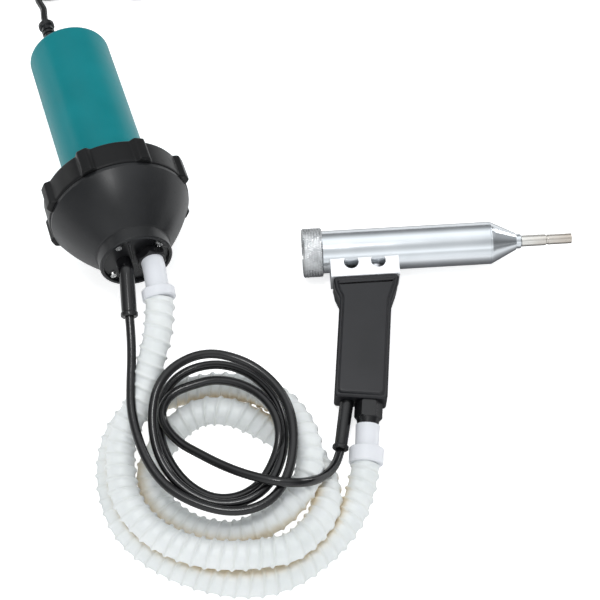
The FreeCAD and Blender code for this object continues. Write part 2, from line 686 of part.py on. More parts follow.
def potentiometer():
    base = COVER_AT + COVER_T + SEAT
    body = cylinder(9.0, base, base + 9)
    tabs = block((6, 13), (-4, 4), (base + 5, base + 6.2))
    return joined([body, tabs]).cut(cylinder(KNOB_STEM_R + RUN, base - 1, KNOB_STEM + 0.5))


DUCT_TOP = -30.2


def duct_cutter(r):
    return placed(cylinder(r, DUCT_TOP - 10, GRIP_LENGTH + 5, DUCT_U, 0), DOWN_GRIP, GRIP)


def barrel_tube():
    tube_ = sleeve(BARREL_R, BARREL_IN, BARREL_START, BARREL_END)
    return placed(tube_, ALONG_X).cut(duct_cutter(DUCT_R + 0.3))


def nose_cone():
    """Shouldered cone with a slightly hollow flank, neck, and the spigot that the nozzle pushes onto."""
    mid = ((BARREL_R + NECK_R) / 2 + 0.5, (BARREL_END + CONE_TIP) / 2 + 0.6)
    bore = NOZZLE_BORE_R - 0.1
    return turned([(bore, CONE_TIP - 4), (BARREL_IN - 1.6, BARREL_END - 1), (BARREL_IN - 1.6, BARREL_END - 5.3),
                   (BARREL_IN - SEAT, BARREL_END - 5.3), (BARREL_IN - SEAT, BARREL_END), (BARREL_R, BARREL_END),
                   (BARREL_R, BARREL_END + 1.2), ("arc", mid, (NECK_R + 0.3, CONE_TIP)), (NECK_R, CONE_TIP),
                   (NECK_R, NECK_END - 0.6), (NECK_R - 0.6, NECK_END), (SPIGOT_R, NECK_END),
                   (SPIGOT_R, NECK_END + SPIGOT_LENGTH), (bore, NECK_END + SPIGOT_LENGTH)])


def nozzle():
    start, step = NECK_END + NOZZLE_GAP, NOZZLE_END - TIP_LENGTH
    seat = NECK_END + SPIGOT_LENGTH + 0.6
    return turned([(SPIGOT_R + RUN, start), (NOZZLE_R - 0.4, start), (NOZZLE_R, start + 0.4),
                   (NOZZLE_R, step - GROOVE_W - 0.5), (GROOVE_R, step - GROOVE_W), (GROOVE_R, step),
                   (TIP_R, step), (TIP_R, NOZZLE_END), (NOZZLE_BORE_R, NOZZLE_END), (NOZZLE_BORE_R, seat),
                   (SPIGOT_R + RUN, seat)])


def heater_core():
    core = cylinder(HEATER_R, *HEATER_X)
    holes = pattern(cylinder(2.2, HEATER_X[0] - 1, HEATER_X[1] + 1, 6.8, 0), 6)
    return core.cut(holes + [cylinder(1.6, HEATER_X[0] - 1, HEATER_X[1] + 1)])


def heating_wire():
    """One wire to and fro through the core's six channels, joined at alternate ends."""
    x0, x1 = HEATER_X[0] - 2, HEATER_X[1] + 2
    wire = cylinder(1.7, x0, x1, 6.8, 0)
    runs = pattern(wire, 6)
    link = block((-3.4, 3.4), (5.2, 6.6), (0, 1.5))
    ends = [turned_copy(moved(link, 0, 0, x0 if i % 2 else x1 - 1.5), 60 * i) for i in range(5)]
    return joined(runs + ends)


def mica_sleeve():
    return sleeve(HEATER_R + 1.0, HEATER_R + 0.2, HEATER_X[0] - 1, HEATER_X[1] + 1)


def heat_shield():
    """Thin steel tube round the mica, with a flange at each end that centres it in the barrel."""
    r, x0, x1 = HEATER_R + 1.2, HEATER_X[0] - 4, BARREL_END - 5.6
    shield = sleeve(r + 0.8, r, x0, x1)
    return joined([shield] + [sleeve(BARREL_IN - 0.2, r, x, x + 1.2) for x in (x0, x1 - 1.2)])


# ---- torch: bracket and grip -------------------------------------------------------------------------------
HOLE_X = (BRACKET_X + 14.4, BRACKET_X + 34.9)


def saddle_bracket():
    """A folded channel whose sides are cut to the barrel, with two round windows in each side."""
    x = (BRACKET_X, BRACKET_X + BRACKET_LENGTH)
    outer = block(x, (-BRACKET_DEPTH, -4), (-BRACKET_HALF, BRACKET_HALF))
    corners = [e for e in outer.Edges if abs(e.CenterOfMass.y + BRACKET_DEPTH) < 0.01 and abs(e.CenterOfMass.z) > 5]
    outer = outer.makeFillet(1.5, corners)
    inner = block((x[0] + BRACKET_WALL, x[1] - BRACKET_WALL), (-BRACKET_DEPTH + BRACKET_WALL, 0),
                  (-BRACKET_HALF + BRACKET_WALL, BRACKET_HALF - BRACKET_WALL))
    barrel = placed(cylinder(BARREL_R + SEAT, 0, 200), ALONG_X)
    holes = [Part.makeCylinder(BRACKET_HOLE_R, 60, V(hx, BRACKET_HOLE_UP - BRACKET_DEPTH, -30), V(0, 0, 1)) for hx in HOLE_X]
    return outer.cut([inner, barrel] + holes).cut(duct_cutter(DUCT_R + 0.3))


def control_board():
    """Phase-control board on edge in the bracket, with its triac and a capacitor."""
    base = -BRACKET_DEPTH + BRACKET_WALL + 0.2
    top = -BARREL_R - 0.4
    board = block((BRACKET_X + 3, BRACKET_X + 26), (base, top), (-5.5, -4))
    triac = block((HOLE_X[0] - 5, HOLE_X[0] + 5), (base + 1.2, top), (-4, 4))
    cap = Part.makeCylinder(2.8, 7, V(BRACKET_X + 6.2, base + 4, -4), V(0, 0, 1))
    return joined([board, triac, cap])


def grip_outline(inset=0.0):
    """The grip from the side: a head under the bracket and a raked shaft, as a closed wire at z = 0."""
    half = GRIP_WIDTH / 2
    shaft = [GRIP.multVec(V(u, -v, 0)) for u, v in ((half, 2), (half, GRIP_LENGTH), (-half, GRIP_LENGTH), (-half, 2))]
    top = -BRACKET_DEPTH - SEAT
    x0, x1 = BRACKET_X, BRACKET_X + BRACKET_LENGTH
    head = [V(x0 + HEAD_TAPER[0], top - HEAD_DEPTH, 0), V(x0, top, 0), V(x1, top, 0),
            V(x1 - HEAD_TAPER[1], top - HEAD_DEPTH, 0)]
    corners = head + shaft
    wire = Part.makePolygon(corners + corners[:1])
    return wire.makeOffset2D(-inset, 2) if inset else wire


def panel_outline(inset):
    half = GRIP_WIDTH / 2 - inset
    points = [GRIP.multVec(V(u, -v, 0)) for u, v in
              ((-half, inset - 2), (half, inset - 2), (half, GRIP_LENGTH - inset), (-half, GRIP_LENGTH - inset))]
    return Part.makePolygon(points + points[:1])


POSTS = [(-(GRIP_WIDTH / 2 - 3.6), 9.0), (GRIP_WIDTH / 2 - 3.6, 9.0), (-(GRIP_WIDTH / 2 - 3.6), GRIP_LENGTH - 9),
         (GRIP_WIDTH / 2 - 3.6, GRIP_LENGTH - 9)]
POST_R = 2.7
GRIP_SCREW_R = 1.3


def grip_shell():
    """One half of the grip, open towards z = 0, with its raised panel and screw posts."""
    outline = grip_outline()
    shell = Part.Face(outline).extrude(V(0, 0, GRIP_HALF))
    upright = [e for e in shell.Edges if abs(e.tangentAt(e.FirstParameter).z) > 0.9]
    shell = shell.makeFillet(2.5, upright)
    rim = [e for e in shell.Edges if abs(e.BoundBox.ZMin - GRIP_HALF) < 0.01 and abs(e.BoundBox.ZMax - GRIP_HALF) < 0.01]
    shell = shell.makeChamfer(1.2, rim)
    lower, upper = panel_outline(PANEL_INSET), panel_outline(PANEL_INSET + PANEL_BEVEL)
    lower.translate(V(0, 0, GRIP_HALF - 0.5))
    upper.translate(V(0, 0, GRIP_HALF + PANEL_HEIGHT))
    shell = shell.fuse(Part.makeLoft([lower, upper], True, True)).removeSplitter()
    shell = shell.cut(Part.Face(grip_outline(GRIP_WALL)).extrude(V(0, 0, GRIP_HALF - GRIP_WALL)))
    posts = [placed(Part.makeCylinder(POST_R, GRIP_HALF - 1, V(u, -v, SEAT / 2)), GRIP) for u, v in POSTS]
    return joined([shell] + posts)


def through_grip(shape_at):
    return [placed(shape_at(u, -v), GRIP) for u, v in POSTS]


def left_grip_half():
    shell = grip_shell().cut(duct_cutter(DUCT_R + 0.3))
    pilot = through_grip(lambda x, y: Part.makeCylinder(GRIP_SCREW_R + SEAT, GRIP_HALF - 3, V(x, y, -1)))
    return shell.cut(pilot)


def right_grip_half():
    shell = grip_shell().mirror(V(0, 0, 0), V(0, 0, 1)).cut(duct_cutter(DUCT_R + 0.3))
    clear = through_grip(lambda x, y: Part.makeCylinder(GRIP_SCREW_R + SEAT, 30, V(x, y, -30)))
    sunk = through_grip(lambda x, y: Part.makeCylinder(2.9, 10, V(x, y, -GRIP_HALF - 10 + 1.6)))
    return shell.cut(clear + sunk)


def grip_screws():
    one = screw(GRIP_HALF + 4.5, 2.6, 1.4, GRIP_SCREW_R)
    one.rotate(V(0, 0, 0), V(1, 0, 0), 180)
    return Part.makeCompound(through_grip(lambda x, y: moved(one, x, y, -GRIP_HALF + 1.6)))


def air_duct():
    return placed(sleeve(DUCT_R, DUCT_R - DUCT_WALL, DUCT_TOP, GRIP_LENGTH, DUCT_U, 0), DOWN_GRIP, GRIP)


NUT_END = GRIP_LENGTH + NUT_LENGTH
SLEEVE_END = NUT_END + SLEEVE_LENGTH
COLLAR_END = SLEEVE_END + COLLAR_LENGTH


def hose_nut():
    """Hexagonal gland with a rounded shoulder, a step and a tapered skirt."""
    flat = hexagon(NUT_ACROSS, GRIP_LENGTH, GRIP_LENGTH + 12.5)
    limit = turned([(0, GRIP_LENGTH), (NUT_ACROSS / 2 - 0.8, GRIP_LENGTH), (NUT_ACROSS / 2, GRIP_LENGTH + 1),
                    (NUT_ACROSS / 2, GRIP_LENGTH + 11.5), (NUT_ACROSS / 2 - 1.1, GRIP_LENGTH + 12.5),
                    (0, GRIP_LENGTH + 12.5)])
    skirt = Part.makeCone(NUT_ACROSS / 2 - 1.6, NUT_ACROSS / 2 - 2.9, NUT_LENGTH - 12.5, V(0, 0, GRIP_LENGTH + 12.5))
    nut = joined([flat.common(limit), skirt]).cut(cylinder(DUCT_R - DUCT_WALL, GRIP_LENGTH - 1, NUT_END + 1))
    return moved(nut, DUCT_U, 0, 0)


def torch_hose_cuff():
    """White sleeve with a wider collar, which has one small notch in its rim."""
    cuff = turned([(DUCT_R, NUT_END), (SLEEVE_R, NUT_END), (SLEEVE_R - 0.3, SLEEVE_END), (COLLAR_R - 0.8, SLEEVE_END),
                   (COLLAR_R, SLEEVE_END + 0.8), (COLLAR_R, COLLAR_END - 0.8), (COLLAR_R - 0.8, COLLAR_END),
                   (DUCT_R, COLLAR_END)])
    notch = block((COLLAR_R - 1.5, COLLAR_R + 1), (-1.5, 1.5), (COLLAR_END - 4, COLLAR_END + 1))
    return moved(cuff.cut(notch), DUCT_U, 0, 0)


TORCH_BOOT = [37.0, 5.1, 4.6, 5.9, 3.5]     # length, root radius, end radius, bead radius, bead length
TORCH_BOOT_LEAN = 4.5


def torch_cable_boot():
    length, root, end, bead_r, bead = TORCH_BOOT
    body = Part.makeCone(root, end, length - bead, V(0, 0, GRIP_LENGTH))
    collar = Part.makeCylinder(bead_r, bead, V(0, 0, GRIP_LENGTH + length - bead))
    collar = collar.makeChamfer(0.7, [e for e in collar.Edges if e.Curve.TypeId == "Part::GeomCircle"])
    boot = joined([body, collar])
    boot.rotate(V(0, 0, GRIP_LENGTH), V(0, 1, 0), -TORCH_BOOT_LEAN)
    socket = block((-20, 20), (-20, 20), (GRIP_LENGTH - 10, GRIP_LENGTH))
    return moved(boot.cut(socket), TORCH_BOOT_U, 0, 0)


# ---- cords ---------------------------------------------------------------------------------------------------
def in_row(place, point):
    """A point of the blower's or torch's own frame, in the row frame."""
    return place.multVec(V(*point))


def grip_point(u, v):
    return in_row(TORCH, GRIP.multVec(V(u, -v, 0)))


HOSE_LEAD = [(-93.5, -99, 62.5), (-96.5, -120, 55), (-105, -142, 43), (-116, -161, 34.5)]
HOSE_TORCH = [(3, -259.5, 11), (20, -247, 11), (36, -229, 11), (46.5, -207, 11.6)]
CABLE_LEAD = [(-116, -105, 58), (-117, -122, 54.5), (-118.5, -138, 52), (-118.5, -155, 51.5), (-113, -172, 49),
              (-104, -189, 48.6)]
CABLE_TORCH = [(-4, -211, 48.5), (8, -208.5, 45), (18, -202, 36), (26, -193, 25), (31, -184.5, 16.5)]
MAINS_LEAD = [(-204.9, 193, 36.8), (-207, 206, 32), (-210, 220, 24.5), (-215, 234, 16.5), (-222, 247, 9.5)]
HOSE_COIL = {"at": (-53.0, -196.3), "outer": 83.5, "shoulder": (60.0, 14.0), "hole_at": (-46.0, -192.3), "hole": (45.0, 32.0)}
CABLE_COIL = {"at": (-50.0, -166.3), "outer": (53.0, 66.0), "hole_at": (-51.0, -173.3), "hole": (38.0, 44.0)}
PILE_TOP = 44.0
PILE_BACK = 26.0
PILE_EDGE = (-146.3, -102.3)          # y where the pile starts to fall, and y of its low back
CABLE_PILE = 13.5
MAINS_COIL_AT = (-211.0, 276.0)
MAINS_COIL_R = (41.0, 19.0)
MAINS_COIL_H = 16.2


def ellipse(at, a, b):
    major, minor = max(a, b), min(a, b)
    curve = Part.Ellipse(V(at[0], at[1], 0), major, minor)
    edge = curve.toShape()
    if b > a:
        edge.rotate(V(at[0], at[1], 0), V(0, 0, 1), 90)
    return Part.Wire([edge])


def band(lower, upper):
    """The slice between two heights above the table that follows the pile's fall towards the back."""
    y0, y1 = -400.0, 100.0
    fall = [(y0, PILE_TOP), (PILE_EDGE[0], PILE_TOP), (PILE_EDGE[1], PILE_BACK), (y1, PILE_BACK)]
    top = [V(-200, y, z + upper) for y, z in fall]
    bottom = [V(-200, y, max(z + lower, 0) if lower > -PILE_TOP else 0) for y, z in reversed(fall)]
    return Part.Face(Part.makePolygon(top + bottom + top[:1])).extrude(V(400, 0, 0))


def pile(outer, hole, lower, upper):
    outer_face = Part.Face(outer).extrude(V(0, 0, 100))
    return outer_face.cut(Part.Face(hole).extrude(V(0, 0, 100))).common(band(lower, upper))


def hose_coil():
    """The loose turns as one ring, widest in its lowest layer and narrowing to the top one."""
    outer, (top_r, skirt) = HOSE_COIL["outer"], HOSE_COIL["shoulder"]
    mound = turned([(0, 0), (outer, 0), (outer, skirt), (top_r, PILE_TOP), (0, PILE_TOP)])
    mound = moved(mound, *HOSE_COIL["at"], 0)
    hole = Part.Face(ellipse(HOSE_COIL["hole_at"], *HOSE_COIL["hole"])).extrude(V(0, 0, 100))
    return mound.cut(hole).common(band(-PILE_TOP, 0))


def cords():
    cuff_end = in_row(BLOWER, CUFF_PATH[-1])
    boot_end = in_row(BLOWER, BOOT_PATH[-1])
    save("hose_blower_lead", tube("hose_blower_lead", [tuple(cuff_end)] + HOSE_LEAD, HOSE_D))
    save("hose_coil", hose_coil())
    collar = grip_point(DUCT_U, COLLAR_END)
    save("hose_torch_lead", tube("hose_torch_lead", HOSE_TORCH + [tuple(collar)], HOSE_D))
    save("cable_blower_lead", tube("cable_blower_lead", [tuple(boot_end)] + CABLE_LEAD, CABLE_D))
    save("cable_coil", pile(ellipse(CABLE_COIL["at"], *CABLE_COIL["outer"]),
                            ellipse(CABLE_COIL["hole_at"], *CABLE_COIL["hole"]), 0.3, CABLE_PILE))
    lean = math.radians(TORCH_BOOT_LEAN)
    boot_foot = grip_point(TORCH_BOOT_U - TORCH_BOOT[0] * math.sin(lean), GRIP_LENGTH + TORCH_BOOT[0] * math.cos(lean))
    save("cable_torch_lead", tube("cable_torch_lead", CABLE_TORCH + [tuple(boot_foot)], CABLE_D))
    mains = in_row(BLOWER, (MAINS_EXIT[0], MAINS_EXIT[1], -MAINS_BOOT[0]))
    save("mains_lead", tube("mains_lead", [tuple(mains)] + MAINS_LEAD, MAINS_D))
    coil = sleeve(MAINS_COIL_R[0], MAINS_COIL_R[1], 0, MAINS_COIL_H, *MAINS_COIL_AT)
    save("mains_coil", coil)


PLUG_AT = (-166.0, 250.0)
PLUG_SIZE = (36.0, 34.0, 15.5)
PLUG_TAIL = (14.0, 4.2)
PIN_R = 2.4
PIN_LENGTH = 19.0
PIN_SPACING = 19.0


def mains_plug():
    """Two-pin contour plug lying flat: a waisted body with a ribbed tail towards the coil."""
    length, width, height = PLUG_SIZE
    x, y = PLUG_AT
    half = width / 2
    corners = [(x, y - half * 0.42), (x + 12, y - half * 0.62), (x + length - 8, y - half), (x + length, y - half),
               (x + length, y + half), (x + length - 8, y + half), (x + 12, y + half * 0.62), (x, y + half * 0.42)]
    body = prism(corners, 0, height)
    body = body.makeFillet(2.0, [e for e in body.Edges if abs(e.CenterOfMass.z - height / 2) > 1])
    tail = Part.makeCylinder(PLUG_TAIL[1], PLUG_TAIL[0] + 1, V(x - PLUG_TAIL[0], y, height / 2), V(1, 0, 0))
    return joined([body, tail])


def plug_pins():
    x = PLUG_AT[0] + PLUG_SIZE[0]
    pins = []
    for side in (-1, 1):
        pin = Part.makeCylinder(PIN_R, PIN_LENGTH, V(x, PLUG_AT[1] + side * PIN_SPACING / 2, PLUG_SIZE[2] / 2), V(1, 0, 0))
        pins.append(pin.makeChamfer(0.8, [e for e in pin.Edges if abs(e.CenterOfMass.x - x - PIN_LENGTH) < 0.01]))
    return Part.makeCompound(pins)


# ---- the whole set ---------------------------------------------------------------------------------------------
def build():
    for make in (motor_housing, rocker_frame, rocker, union_ring, slip_washer, motor_flange, filter_screen,
                 filter_foam, fan_housing, end_plate, plate_screws, outlet_nut, outlet_spigot, mains_boot,
                 motor_end_bracket, motor_shaft, commutator, armature_core, stator_core, field_coils,
                 brush_holders, carbon_brushes, diffuser):
        save(make.__name__, make(), BLOWER)
    save("blower_hose_cuff", flared(CUFF_PATH, CUFF_R, CUFF_BORE, CUFF_COLLAR_R, CUFF_COLLAR), BLOWER)
    save("blower_cable_boot", flared(BOOT_PATH, BOOT_R, 0, BOOT_COLLAR_R, BOOT_COLLAR), BLOWER)
    save("rear_bearing", bearing(REAR_BEARING_S), BLOWER)
    save("front_bearing", bearing(FRONT_BEARING_S), BLOWER)
    save("rear_impeller", impeller(IMPELLER_R, FAN_S, 20.0), BLOWER)
    save("front_impeller", impeller(SECOND_IMPELLER_R, SECOND_FAN_S, 18.0), BLOWER)
    for make in (rear_cap, cap_set_screws, rear_cover, temperature_knob, potentiometer, nose_cone, nozzle,
                 heater_core, heating_wire, mica_sleeve, heat_shield):
        save(make.__name__, make(), ALONG_X, TORCH)
    for make in (barrel_tube, saddle_bracket, control_board, left_grip_half, right_grip_half, grip_screws, air_duct):
        save(make.__name__, make(), TORCH)
    for make in (hose_nut, torch_hose_cuff, torch_cable_boot):
        save(make.__name__, make(), DOWN_GRIP, GRIP, TORCH)
    cords()
    save("mains_plug", mains_plug())
    save("plug_pins", plug_pins())


build()
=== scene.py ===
import json
import math
import bmesh
import bpy
import numpy as np
from mathutils import Matrix

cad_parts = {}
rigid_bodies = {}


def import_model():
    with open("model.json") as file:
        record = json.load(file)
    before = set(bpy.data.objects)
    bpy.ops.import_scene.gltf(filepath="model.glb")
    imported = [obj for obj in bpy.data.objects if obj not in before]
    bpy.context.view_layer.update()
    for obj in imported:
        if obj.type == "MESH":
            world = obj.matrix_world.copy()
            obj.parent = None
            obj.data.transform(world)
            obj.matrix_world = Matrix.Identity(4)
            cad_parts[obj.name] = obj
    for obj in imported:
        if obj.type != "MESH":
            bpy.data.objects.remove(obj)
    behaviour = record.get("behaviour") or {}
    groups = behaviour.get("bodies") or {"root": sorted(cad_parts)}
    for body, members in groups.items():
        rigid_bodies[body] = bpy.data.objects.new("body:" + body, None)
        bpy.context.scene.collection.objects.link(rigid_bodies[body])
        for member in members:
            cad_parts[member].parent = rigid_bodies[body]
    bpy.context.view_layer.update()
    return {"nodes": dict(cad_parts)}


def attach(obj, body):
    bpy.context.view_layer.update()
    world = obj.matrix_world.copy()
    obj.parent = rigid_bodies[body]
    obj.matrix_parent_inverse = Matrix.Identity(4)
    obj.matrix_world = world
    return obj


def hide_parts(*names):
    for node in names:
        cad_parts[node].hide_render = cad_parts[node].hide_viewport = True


for leftover in list(bpy.data.objects):
    bpy.data.objects.remove(leftover)
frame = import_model()
nodes = frame["nodes"]
print("frame loaded:", len(nodes), "nodes")

# the camera stands in front of the set and looks down at it, in metres
camera = {"at": (0.004, -0.532, 0.987), "aim": (0.004, -0.0463, 0.0), "lens": 86.46, "sensor": 36.0}


def makeCamera(spec):
    # the view axis runs from aim to place; right is square to it and level
    data = bpy.data.cameras.new("camera")
    data.lens = spec["lens"]
    data.sensor_width = spec["sensor"]
    data.clip_start = 0.01
    cam = bpy.data.objects.new("camera", data)
    bpy.context.scene.collection.objects.link(cam)
    at, aim = np.array(spec["at"]), np.array(spec["aim"])
    back = (at - aim) / np.linalg.norm(at - aim)
    right = np.cross((0, 0, 1), back)
    right /= np.linalg.norm(right)
    up = np.cross(back, right)
    matrix = np.eye(4)
    matrix[:3, 0], matrix[:3, 1], matrix[:3, 2], matrix[:3, 3] = right, up, back, at
    cam.matrix_world = Matrix(matrix.tolist())
    bpy.context.scene.camera = cam


makeCamera(camera)
bpy.context.scene.view_settings.view_transform = "Standard"
print("camera set")

# where the blower and the torch lie on the row
blower = {"at": (-182.6, 159.0, 30.8894), "heading": 18.4, "tilt": 8.9749}  # millimetres, degrees
torch = {"at": (7.4, -15.9, 18.7), "heading": 3.67, "roll": 2.1027}


def blowerPlace(spec):
    # local z along the blower towards its outlet, local x up, local y to its left
    head, tilt = math.radians(spec["heading"]), math.radians(spec["tilt"])
    along = np.array([math.sin(head) * math.cos(tilt), -math.cos(head) * math.cos(tilt), math.sin(tilt)])
    left = np.array([-math.cos(head), -math.sin(head), 0.0])
    matrix = np.eye(4)
    matrix[:3, 0], matrix[:3, 1], matrix[:3, 2] = np.cross(left, along), left, along
    matrix[:3, 3] = spec["at"]
    return matrix


def torchPlace(spec):
    # local x along the barrel to the nozzle, local y away from the grip, local z up
    head, roll = math.radians(spec["heading"]), math.radians(spec["roll"])
    along = np.array([math.cos(head), math.sin(head), 0.0])
    level = np.array([-math.sin(head), math.cos(head), 0.0])
    side = level * math.cos(roll) + np.array([0, 0, math.sin(roll)])
    matrix = np.eye(4)
    matrix[:3, 0], matrix[:3, 1], matrix[:3, 2] = along, side, np.cross(along, side)
    matrix[:3, 3] = spec["at"]
    return matrix


def turnTo(columns, at=(0, 0, 0)):
    # a frame from its three axes and its origin
    matrix = np.eye(4)
    matrix[:3, :3] = np.array(columns, float).T
    matrix[:3, 3] = at
    return matrix


onBlower = blowerPlace(blower)
onTorch = torchPlace(torch)
alongBarrel = onTorch @ turnTo([(0, 0, -1), (0, 1, 0), (1, 0, 0)])  # local z along the barrel


def placePoints(points, matrix):
    # millimetres in a local frame to metres in the row frame
    return (points @ matrix[:3, :3].T + matrix[:3, 3]) * 0.001


# cords: control points in millimetres, from the blower's end on
hoseSpec = {
    "diameter": 0.022, "pitch": 8.7, "valley": 9.6, "crest": 11.1, "around": 40, "perRib": 10,
    "cordPoints": 600,
    "ridgeAt": [0.0, 0.06, 0.12, 0.18, 0.24, 0.30, 0.38, 0.92, 1.0],  # share of a pitch
    "ridgeLift": [0.18, 0.75, 1.0, 0.98, 0.60, 0.20, 0.0, 0.0, 0.18],  # share of the ridge's height
    "uneven": 0.2, "oval": 0.16, "pucker": 0.12, "over": 0.15,
    "points": [
        (-96.1, -78.0, 65.1), (-95.5, -99.0, 62.5), (-100.9, -120.0, 54.5), (-107.0, -142.0, 43.0),
        (-120.5, -167.8, 35.0), (-122.3, -183.8, 32.5), (-120.7, -198.7, 32.0), (-118.0, -212.5, 31.5),
        (-109.2, -226.8, 31.5), (-96.5, -239.5, 30.9), (-78.3, -248.7, 30.5), (-60.0, -253.9, 30.3),
        (-40.6, -255.3, 30.3), (-21.8, -253.6, 30.1), (-2.0, -250.1, 29.7), (12.9, -236.8, 28.6),
        (22.3, -221.0, 24.5), (22.8, -204.8, 17.8), (19.4, -189.6, 13.6), (11.5, -176.0, 11.4),
        (-0.2, -167.2, 11.2), (-12.7, -159.0, 11.2), (-27.5, -151.6, 13.4), (-41.8, -145.5, 16.2),
        (-57.0, -143.3, 16.9), (-70.9, -145.3, 16.0), (-83.6, -153.9, 14.5), (-93.1, -166.8, 13.3),
        (-100.5, -179.7, 12.5), (-103.1, -193.8, 12.1), (-98.7, -208.2, 12.3), (-87.4, -221.2, 13.0),
        (-73.4, -230.9, 14.2), (-57.2, -236.0, 15.9), (-40.1, -237.9, 18.3), (-24.3, -232.3, 21.9),
        (-9.0, -224.0, 26.2), (1.3, -213.7, 30.6), (9.3, -202.0, 33.9), (11.4, -188.3, 34.2),
        (8.8, -172.6, 33.0), (3.1, -157.7, 30.2), (-7.2, -142.6, 25.2), (-23.2, -130.2, 18.3),
        (-40.6, -123.9, 13.1), (-57.2, -122.4, 11.2), (-73.8, -124.9, 11.2), (-90.6, -128.8, 11.2),
        (-106.0, -135.1, 11.2), (-118.9, -145.2, 11.2), (-127.4, -159.4, 11.2), (-131.3, -177.1, 11.2),
        (-131.0, -194.0, 11.2), (-127.1, -210.5, 11.2), (-119.8, -227.7, 11.2), (-107.3, -241.6, 11.2),
        (-90.7, -253.0, 11.2), (-72.5, -261.5, 11.2), (-52.5, -267.3, 11.2), (-33.8, -269.7, 11.2),
        (-14.4, -267.5, 11.2), (3.0, -259.5, 11.2), (20.0, -247.0, 11.2), (36.0, -229.0, 11.2),
        (46.5, -207.0, 11.6), (51.1, -183.1, 12.5)],
}
torchCableSpec = {
    "diameter": 0.0066,
    "points": [
        (-117.3, -90.2, 61.5), (-115.6, -105.0, 58.0), (-114.8, -122.4, 55.3), (-114.8, -138.5, 53.2),
        (-114.1, -155.0, 51.5), (-110.3, -171.5, 50.0), (-102.6, -191.6, 49.0), (-91.3, -208.0, 48.4),
        (-77.7, -218.7, 48.2), (-60.4, -226.4, 48.1), (-43.4, -229.9, 47.8), (-26.5, -227.7, 47.8),
        (-13.0, -219.4, 48.1), (-4.9, -205.9, 48.4), (-0.8, -189.0, 47.8), (-0.2, -170.4, 47.3),
        (-3.7, -151.7, 47.3), (-13.7, -135.1, 47.8), (-29.4, -121.7, 48.7), (-45.8, -115.4, 50.2),
        (-59.9, -113.9, 52.2), (-73.8, -118.1, 54.6), (-87.4, -128.3, 56.8), (-96.0, -141.7, 56.2),
        (-99.0, -157.8, 53.2), (-97.8, -175.2, 50.2), (-92.4, -192.6, 47.7), (-81.7, -207.8, 45.7),
        (-66.3, -218.8, 44.3), (-49.2, -223.7, 44.1), (-31.5, -221.1, 44.7), (-17.9, -211.2, 45.2),
        (-9.8, -194.4, 42.6), (-6.5, -174.3, 38.1), (-8.7, -155.2, 37.3), (-16.0, -137.9, 36.0),
        (-29.8, -122.8, 33.4), (-45.2, -114.7, 31.0), (-59.8, -112.3, 29.0), (-75.7, -115.6, 27.6),
        (-88.5, -124.6, 26.6), (-95.9, -139.3, 26.2), (-97.4, -154.7, 26.2), (-93.7, -173.7, 26.5),
        (-85.2, -191.0, 26.9), (-72.7, -205.3, 27.8), (-56.3, -214.5, 29.2), (-38.9, -214.4, 31.1),
        (-23.7, -205.9, 33.8), (-14.1, -190.6, 38.0), (-9.3, -173.7, 42.3), (-12.9, -155.6, 42.1),
        (-23.0, -140.9, 39.6), (-38.9, -130.7, 37.2), (-56.9, -126.8, 35.3), (-73.4, -130.8, 33.8),
        (-86.2, -135.8, 32.8), (-93.0, -144.1, 32.3), (-94.7, -154.0, 32.3), (-90.0, -164.8, 32.8),
        (-79.4, -176.5, 36.0), (-68.4, -183.9, 40.0), (-51.8, -194.9, 46.0), (-34.9, -203.9, 52.0),
        (-17.7, -209.8, 55.5), (-2.1, -211.9, 55.5), (11.5, -207.9, 46.0), (22.8, -197.6, 31.0),
        (30.3, -184.1, 18.0), (32.8, -172.8, 12.9)],
}
mainsSpec = {
    "diameter": 0.0054,
    "lead": [(-201.9, 183.7, 38.4), (-203.9, 190.5, 37.2), (-205.0, 198.0, 35.0), (-206.2, 203.5, 33.0),
             (-209.0, 209.0, 30.6), (-212.6, 216.5, 27.4), (-213.6, 226.0, 24.0), (-209.5, 236.5, 21.4),
             (-201.5, 247.0, 20.0), (-194.0, 257.0, 19.2), (-190.0, 266.0, 17.0)],
    "coilAt": (-211.0, 276.0), "lanes": 4, "layers": 3, "inner": 21.7, "laneStep": 5.53, "top": 13.5,
    "layerStep": 5.4, "perTurn": 14, "shortOfLast": 0.2, "tieAngle": 3.4, "tieWidth": 5.0, "tieThick": 0.8,
    "tail": [(-191.5, 242.6, 11.0), (-184.5, 248.0, 8.4), (-178.5, 250.0, 7.75)],
}


def splineCurve(name, points, diameter, fineness):
    # one open quadratic NURBS spline through the listed control points, with a round section
    data = bpy.data.curves.new(name, "CURVE")
    data.dimensions = "3D"
    spline = data.splines.new("NURBS")
    spline.points.add(len(points) - 1)
    flat = np.c_[np.array(points) * 0.001, np.ones(len(points))].astype(np.float32)
    spline.points.foreach_set("co", flat.ravel())
    thin = 0.002  # each point's own radius, by which the section's depth is multiplied
    spline.points.foreach_set("radius", np.full(len(points), thin, np.float32))
    spline.order_u = 3
    spline.use_endpoint_u = True
    data.resolution_u = fineness
    data.bevel_depth = diameter / 2 / thin
    data.bevel_resolution = 4
    data.use_fill_caps = True
    obj = bpy.data.objects.new(name, data)
    bpy.context.scene.collection.objects.link(obj)
    return obj


def routeOf(curve):
    # the spline's own line as an array of points, read from the curve without its section
    depth, curve.data.bevel_depth = curve.data.bevel_depth, 0.0
    line = bpy.data.meshes.new_from_object(curve)
    path = np.empty(len(line.vertices) * 3)
    line.vertices.foreach_get("co", path)
    bpy.data.meshes.remove(line)
    curve.data.bevel_depth = depth
    return path.reshape(-1, 3)


def lengthOf(path):
    # the sum of the steps between neighbouring points
    return float(np.linalg.norm(np.diff(path, axis=0), axis=1).sum())


